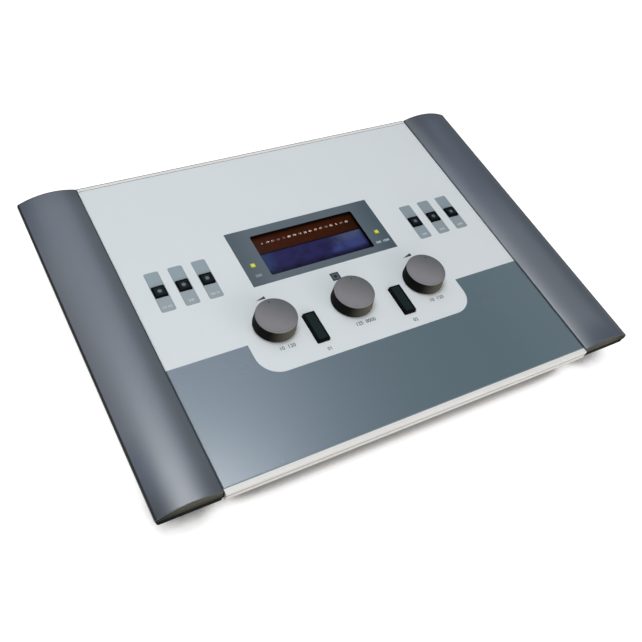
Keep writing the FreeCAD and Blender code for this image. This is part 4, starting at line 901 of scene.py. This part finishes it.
def wingFinish():
    # satin paint of randomly drifting tone with painted light and shade: paler patches where it faces
    # the light, darker patches, ends, outer front corners and right outer side, and black along the
    # inner edge and the rear end; black along the lip
    surface = Surface("wingGrey")
    x, y, z = surface.axes()
    across = abs(x)
    start, end, front, rear = picked(wing, "start end front rear")
    patch = surface.noise(9, 3, 0.6)
    grain = surface.noise(0.55, 2, 0.6)
    skin = surface.mix(surface.noise(28, 3, 0.55), wing["skinCool"], wing["skinWarm"])
    skin = surface.mix(patch * 0.5, skin, wing["skin"])
    # painted light and shade in patches
    for tone, amount, *edges in wingPatches:
        skin = surface.mix(paintedLightPatch(x, y, *edges) * amount, skin, wing[tone])
    # painted shade: darker towards both ends, on the right wing's outer side and edge, and on the outer
    # front corners
    ends = 1 - y.band((front, wing["endShadeFront"]), (rear - wing["endShadeRear"], rear))
    turned = x.step(wing["turnShadeStart"], end - 3) * wing["turn"]
    edge = x.step(wing["edgeShadeStart"], end - 1) * wing["edge"]
    corner = across.step(wing["cornerShadeStart"], end - 3) * (1 - y.step(front, wing["cornerShadeRear"]))
    dark = (ends * wing["ends"]).most(turned).most(edge).most(corner * wing["corner"])
    skin = surface.mix(dark, skin, wing["seam"])
    # painted shade in black on the rear end and along the inner side by the gap to the panel
    rearShade = (y - rear).step(*wing["rearShade"])
    innerShade = 1 - (across - start).step(*wing["innerShade"])
    innerShade = innerShade * (1 - x.step(-1, 1) * z.step(*wing["innerShadeTop"]))
    colour = surface.mix(rearShade.most(innerShade) * 0.85, skin, wing["seam"])
    foot = 1 - (z + wing["outerDrop"]).step(*wing["lipFoot"])
    lipTone = surface.mix(foot, wing["seam"], wing["lipInk"])
    colour = surface.mix((across - end).step(*wing["lipSide"]), colour, lipTone)
    return surface.done(colour, 0.3 + patch * 0.08 + grain * 0.03, grain, 0.008, gloss(1))


def wingTipFinish():
    # bare olive moulding on the front end, lighter towards its top as painted light and lighter on the
    # right wing, darker at its outer side as painted shade, and black as painted shade at its foot and,
    # on the left wing, along its inner edge
    surface = Surface("wingTip")
    x, y, z = surface.axes()
    grain = surface.noise(0.5, 2, 0.6)
    onRight = x.step(-1, 1)
    # painted light: lighter towards the top
    tone = surface.mix(z.step(*wingTip["topLightHeight"]), wingTip["middle"], wingTip["top"])
    tone = surface.mix(onRight * 0.6, tone, wingTip["top"])
    # painted shade: darker at the outer side, then black at the foot and along the left wing's inner
    # edge
    tone = surface.mix(abs(x).step(*wingTip["outerShadeStart"]), tone, wingTip["outer"])
    foot = 1 - (z + wing["skirt"]).step(*wingTip["footHeight"])
    inner = (1 - (abs(x) - wing["start"]).step(*wingTip["innerShadeDepth"])) * (1 - onRight)
    tone = surface.mix(foot.most(inner), tone, wingTip["foot"])
    return surface.done(tone, 0.7 + grain * 0.1, grain, 0.01, gloss(0.1))


def addWings():
    finish, tipFinish = wingFinish(), wingTipFinish()
    for label, side in sides:
        mesh = wingMesh(side)
        skin = piece(f"wing_{label}", mesh, finish, sharp=40)
        mesh.materials.append(tipFinish.material)
        for polygon in mesh.polygons:
            if polygon.center.y < (wing["front"] + wingTip["depth"]) * mm:
                polygon.material_index = 1
        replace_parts(skin, f"wing_cover_{label}")


addWings()
print("wings set")


# display
display = {
    "lensTop": -3.2, "lensBottom": -5.2, "lensWidth": 92.2, "lensDepth": 41.4,
    "split": 166.0, "brown": ink(70, 27, 4), "brownDark": ink(36, 14, 4),
    "blue": ink(37, 34, 78), "blueLight": ink(60, 72, 124), "blueDark": ink(22, 16, 34),
    "blueLeft": ink(46, 64, 102), "haze": ink(86, 91, 104), "gap": ink(6, 5, 6),
    # soft edges: across the window, along it, or along a slant that runs to the right front
    "brownEnd": (20, 46), "leftEnd": (-45, -30), "rightEnd": (42.2, 46.8),
    "lightFront": (146, 152), "darkFront": (144, 152), "hazeFront": (155, 166),
    "lightLeft": (14, 26), "lightRight": (38, 52), "hazeLeft": (8, 24), "gapEdge": (0.3, 1.1),
    "row": "10004005200035102", "rowPlace": 176.0, "rowStart": -39.5, "rowEnd": 41.0,
    "dotWidth": 0.5, "dotDepth": 0.21, "dotShare": 0.94, "dotGlow": 0.45,
    "dotDim": ink(128, 92, 80), "dotBright": ink(250, 236, 228),
}


def displayFinish():
    # two glowing panels behind dark glass: brown at the rear, mottled blue at the front
    surface = Surface("displayGlass")
    x, y = surface.axes("XY")
    cloud = surface.noise(9, 4, 0.65)
    fine = surface.noise(1.6, 3, 0.6)
    slant = x * 0.75 - (y - layout["windowPlace"]) * 0.9 + (cloud - 0.5) * 12
    brown = surface.mix(cloud * 0.7 + fine * 0.3, display["brownDark"], display["brown"])
    brown = surface.mix(x.step(*display["brownEnd"]) * 0.6, brown, display["brownDark"])
    patch = slant.band(display["lightLeft"], display["lightRight"]) * y.step(*display["lightFront"])
    blue = surface.mix(patch * 0.75 + fine * 0.15, display["blue"], display["blueLight"])
    blue = surface.mix((1 - x.step(*display["leftEnd"])) * 0.8, blue, display["blueLeft"])
    deep = (1 - y.step(*display["darkFront"])) * 0.8 + (1 - cloud.step(0.35, 0.55)) * 0.3
    blue = surface.mix(deep, blue, display["blueDark"])
    hazy = y.step(*display["hazeFront"]) * slant.step(*display["hazeLeft"]) * (0.3 + fine * 0.5)
    blue = surface.mix(hazy, blue, display["haze"])
    above = y - display["split"]
    upper = above.step(-0.2, 0.2)
    line = (1 - abs(above).step(*display["gapEdge"])) * 0.85
    rightEnd = x.step(*display["rightEnd"]) * (0.8 - upper * 0.7)
    colour = surface.mix(line.most(rightEnd), surface.mix(upper, blue, brown), display["gap"])
    return surface.done(colour, 0.2 + fine * 0.06, fine, 0.003, gloss(0.12))


# five dots across and seven down for each numeral
numerals = {
    "0": "01110 10001 10011 10101 11001 10001 01110", "1": "00100 01100 00100 00100 00100 00100 01110",
    "2": "01110 10001 00001 00010 00100 01000 11111", "3": "11111 00010 00100 00010 00001 10001 01110",
    "4": "00010 00110 01010 10010 11111 00010 00010", "5": "11111 10000 11110 00001 00001 10001 01110",
}


def dotFinish():
    surface = Surface("displayDots")
    dots = surface.mix(surface.noise(4).step(0.4, 0.6), display["dotDim"], display["dotBright"])
    glow = {"Emission Color": dots, "Emission Strength": display["dotGlow"]}
    return surface.done(dots, 0.4, more=glow)


def dotOutlines():
    # the small squares of one row of numerals
    pitch = (display["rowEnd"] - display["rowStart"]) / len(display["row"])
    wide, deep, share = picked(display, "dotWidth dotDepth dotShare")
    squares = []
    for place, numeral in enumerate(display["row"]):
        left = display["rowStart"] + pitch * (place + 0.5) - wide * 2.5
        for line, bits in enumerate(numerals[numeral].split()):
            y = display["rowPlace"] + deep * (3 - line)
            for column, bit in enumerate(bits):
                if bit == "1":
                    squares.append(box2d(left + wide * (column + 0.5), y, wide * share, deep * share))
    return squares


def addDisplay():
    outline = box2d(0, layout["windowPlace"], display["lensWidth"], display["lensDepth"])
    lens = flat([outline], display["lensBottom"], display["lensTop"])
    glass = piece("display_glass", lens, displayFinish())
    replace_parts(glass, "display_window")
    mesh = flat(dotOutlines(), display["lensTop"] - 0.02, display["lensTop"] + 0.03)
    inked("display_row", mesh, dotFinish())


addDisplay()


# indicator lights

lights = {
    "size": 4.0, "corner": 0.5, "proud": 0.2, "bottom": -14, "rimStart": (0.4, 1.9), "glow": 0.12,
    "core": ink(206, 212, 96), "rim": ink(150, 162, 40),
}


def lightFinish():
    surface = Surface("lightYellow")
    x, y = surface.axes("XY")
    away = abs(x).most(abs(y)).step(*lights["rimStart"])
    colour = surface.mix(away, lights["core"], lights["rim"])
    glow = {"Emission Color": colour, "Emission Strength": lights["glow"]}
    return surface.done(colour, 0.3, surface.noise(0.7), 0.03, glow)


def addLights():
    finish = lightFinish()
    size, corner, proud = picked(lights, "size corner proud")
    levels = ((0, lights["bottom"]), (0, proud - 0.25), (0.1, proud - 0.08), (0.4, proud))
    for label, side in sides:
        rings = [ring(size - less, size - less, corner, z) for less, z in levels]
        at = onPanel(side * layout["lightReach"], layout["lightPlace"])
        lamp = piece(f"status_light_{label}", loft(rings), finish, at=at)
        if label == "left":
            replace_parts(lamp, "status_lights")


addLights()
print("display and lights set")


# knobs
knob = {
    "top": 10.9, "bottom": 0.5, "topRadius": 15.4, "baseRadius": 16.0, "wall": 2, "roof": 8.9,
    "edge": 0.5, "hubRadius": 5.4, "hubBottom": 2.4, "boreRadius": 3.02, "dish": 0.12, "rimWidth": 0.9,
    "marks": {"left": 0, "center": -18, "right": -31},      # how far each index mark is turned
    "markPlace": 12.4, "markWidth": 0.9, "markLength": 1.8, "markCorner": 0.4,
    # the dark face tone is painted shade and the warm side tone is painted light
    "face": ink(129, 127, 131), "faceShaded": ink(94, 96, 99), "groove": ink(84, 82, 86),
    "side": ink(5, 6, 4), "sideLitWarm": ink(102, 98, 88), "mark": ink(46, 44, 46),
    "shadeEdge": (-1.1, 0.7),   # along the face towards its left front, in radii
    "warmLightWay": (0.57, -0.82), "warmLightEdge": (0.16, 1.25), "faceEdge": (-0.7, -0.3),
}


def dishRadius():
    return knob["topRadius"] - knob["edge"] - knob["rimWidth"]


def knobMesh():
    top, edge, dish, inner = *picked(knob, "top edge dish"), dishRadius()
    topRadius, base, low, roof = picked(knob, "topRadius baseRadius bottom roof")
    profile = [(knob["boreRadius"], roof), (knob["boreRadius"], knob["hubBottom"]),
               (knob["hubRadius"], knob["hubBottom"]), (knob["hubRadius"], roof),
               (topRadius - knob["wall"], roof), (base - knob["wall"], low),
               (base - 0.3, low), (base, low + 0.3),
               *arcPoints((topRadius - edge, top - edge), edge, 2, 90, 8),
               (inner + 0.15, top), (inner, top - dish * 0.3), (inner - 0.15, top - dish),
               (inner - 0.6, top - dish), (inner * 0.5, top - dish * 0.9)]
    return loft([circle(radius, z) for radius, z in profile])


def knobFinish(name, middle):
    # face mottled at random and lighter towards the left front as painted light; near-black side, warmer
    # towards the right front as painted light
    surface = Surface(name)
    x, y, z = surface.axes()
    cloud = surface.noise(5, 4, 0.65)
    grain = surface.noise(0.35, 2, 0.6)
    place = surface.node("NewGeometry", output="Position")
    offset = surface.node("VectorMath", {"operation": "SUBTRACT"}, [place, middle])
    frontLeft = (-rightWay - panelBack).normalized() / (knob["topRadius"] * mm)
    # painted light: the face is lighter towards the left front
    lit = surface.along(offset, frontLeft).step(*knob["shadeEdge"]) + (cloud - 0.5) * 0.3
    face = surface.mix(lit, knob["faceShaded"], knob["face"])
    groove = 1 - abs(surface.length(x, y) - dishRadius() + 0.1).step(0.05, 0.45)
    face = surface.mix(groove * 0.25, face, knob["groove"])
    # painted light: the side is warmer where it faces the right front
    right, back = knob["warmLightWay"]
    facing = surface.node("NewGeometry", output="Normal")
    lean = surface.along(facing, rightWay * right + panelBack * back)
    side = surface.mix(lean.step(*knob["warmLightEdge"]), knob["side"], knob["sideLitWarm"])
    upper = (z - knob["top"]).step(*knob["faceEdge"])
    uneven = 0.7 - upper * 0.2 + cloud * 0.06 + grain * 0.04
    return surface.done(surface.mix(upper, side, face), uneven, grain, 0.01, gloss(0.12))


def addKnobs():
    markFinish = moulded("knobMark", knob["mark"])
    level = knob["top"] - knob["dish"]
    outline = box2d(0, knob["markPlace"], knob["markWidth"], knob["markLength"], knob["markCorner"])
    for label, step in (("left", -1), ("center", 0), ("right", 1)):
        body = f"knob_{label}"
        at = onPanel(step * layout["knobPitch"], layout["knobPlace"], knob["marks"][label])
        finish = knobFinish(f"knobGrey_{label}", at.translation)
        cap = piece(f"dial_{label}", knobMesh(), finish, body, at)
        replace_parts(cap, body)
        mark = flat([outline], level - 0.1, level + 0.04)
        piece(f"dial_mark_{label}", mark, markFinish, body, at)


addKnobs()
print("knobs set")


# push buttons
button = {
    "width": 9.6, "depth": 9.9, "corner": 0.7, "cornerShare": 0.5, "proud": 1.1, "edge": 0.6,
    "collarTop": -3.2, "collar": 1.2, "collarReach": 1.5,
    "stem": 3.8, "stemCorner": 0.2, "stemBottom": -10, "dotRadius": 1.75,
    "face": ink(24, 33, 40), "faceRim": ink(0, 1, 2), "dot": ink(92, 107, 116),
    "rimStart": (2.9, 4.1), "topEdge": (-0.3, -0.1),
}


def buttonFinish():
    # gloss black with a slightly lighter middle
    surface = Surface("buttonBlack")
    x, y, z = surface.axes()
    grain = surface.noise(0.3, 2, 0.6)
    middle = 1 - abs(x).most(abs(y)).step(*button["rimStart"])
    middle = middle * (z - button["proud"]).step(*button["topEdge"])
    mottled = middle * (0.7 + surface.noise(4, 3) * 0.3)
    colour = surface.mix(mottled, button["faceRim"], button["face"])
    return surface.done(colour, 0.36 + grain * 0.08, grain, 0.006, gloss(0.06))


def buttonDotFinish():
    surface = Surface("buttonDot")
    x, y = surface.axes("XY")
    grain = surface.noise(0.5)
    edge = surface.length(x, y).step(button["dotRadius"] * 0.4, button["dotRadius"])
    colour = surface.mix(edge * 0.8 + grain * 0.1, button["dot"], button["face"])
    return surface.done(colour, 0.4, grain, 0.008)


def addButtons():
    width, depth, corner, proud = picked(button, "width depth corner proud")
    stem, stemCorner, dot = picked(button, "stem stemCorner dotRadius")
    wide, deep = width + button["collarReach"] * 2, depth + button["collarReach"] * 2
    collarTop = button["collarTop"]
    collarLow = collarTop - button["collar"]
    rings = [ring(stem, stem, stemCorner, button["stemBottom"]), ring(stem, stem, stemCorner, collarLow),
             ring(wide, deep, corner, collarLow), ring(wide, deep, corner, collarTop),
             ring(width, depth, corner, collarTop),
             *roundedRim(width, depth, corner, proud, button["edge"], button["cornerShare"]),
             ring(dot * 2.3, dot * 2.3, dot * 1.14, proud - 0.02)]
    dome = ((dot, -0.06), (dot, 0.02), (dot - 0.15, 0.06), (dot * 0.5, 0.09))
    rise = [circle(radius, proud + height, 40) for radius, height in dome]
    capFinish, dotInk = buttonFinish(), buttonDotFinish()
    for number, x in enumerate(buttonPlaces, start=1):
        at, body = onPanel(x, layout["buttonPlace"]), f"button_{number}"
        cap = piece(f"cap_{number}", loft(rings), capFinish, body, at)
        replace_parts(cap, f"push_button_{number}")
        piece(f"cap_dot_{number}", loft(rise), dotInk, body, at)


addButtons()
print("buttons set")


# interrupter keys
key = {
    "width": 9.4, "length": 25.4, "proud": 2.7, "bottom": -8.5, "edge": 0.3, "corner": 0.2,
    "inset": 1.2, "insetDepth": 0.3, "insetSlope": 0.1, "padGap": 0.1, "padEdge": 0.05,
    "padLow": -0.1, "padHigh": 0.08,            # counted from the floor of the inset
    "side": ink(1, 1, 2), "rim": ink(4, 5, 6), "pad": ink(16, 33, 32), "padCool": ink(20, 30, 36),
    "topEdge": (-0.3, -0.1),
}


def keyFinish():
    surface = Surface("keyBlack")
    z = surface.axes("Z")[0]
    grain = surface.noise(0.35, 2, 0.6)
    upper = (z - key["proud"]).step(*key["topEdge"]) * (0.7 + grain * 0.3)
    colour = surface.mix(upper, key["side"], key["rim"])
    return surface.done(colour, 0.6 + grain * 0.08, grain, 0.015, gloss(0.08))


def keyPadFinish():
    # a grained rubbery pad
    surface = Surface("keyPad")
    grain = surface.noise(0.5, 2, 0.6)
    colour = surface.mix(surface.noise(5, 3, 0.6), key["pad"], key["padCool"])
    return surface.done(colour, 0.55 + grain * 0.08, grain, 0.04, gloss(0.12))


def addKeys():
    width, length, corner, proud = picked(key, "width length corner proud")
    inner, floor = key["inset"] * 2, proud - key["insetDepth"]
    slope, gap = key["insetSlope"], key["padGap"] * 2
    steps = ((slope * 2, proud), (0, proud - slope), (-slope, floor))   # down into the inset
    rings = [ring(width, length, corner, key["bottom"]),
             *roundedRim(width, length, corner, proud, key["edge"]),
             *(ring(width - inner + more, length - inner + more, corner, z) for more, z in steps)]
    padOutline = box2d(0, 0, width - inner - gap, length - inner - gap, corner)
    low, high = floor + key["padLow"], floor + key["padHigh"]
    barFinish, padFinish = keyFinish(), keyPadFinish()
    for label, side in sides:
        body = f"key_{label}"
        at = onPanel(side * layout["keyReach"], layout["keyPlace"])
        bar = piece(body, loft(rings), barFinish, body, at)
        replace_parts(bar, f"interrupter_key_{label}")
        pad = flat([padOutline], low, high, key["padEdge"])
        piece(f"key_pad_{label}", pad, padFinish, body, at)


addKeys()
print("keys set")
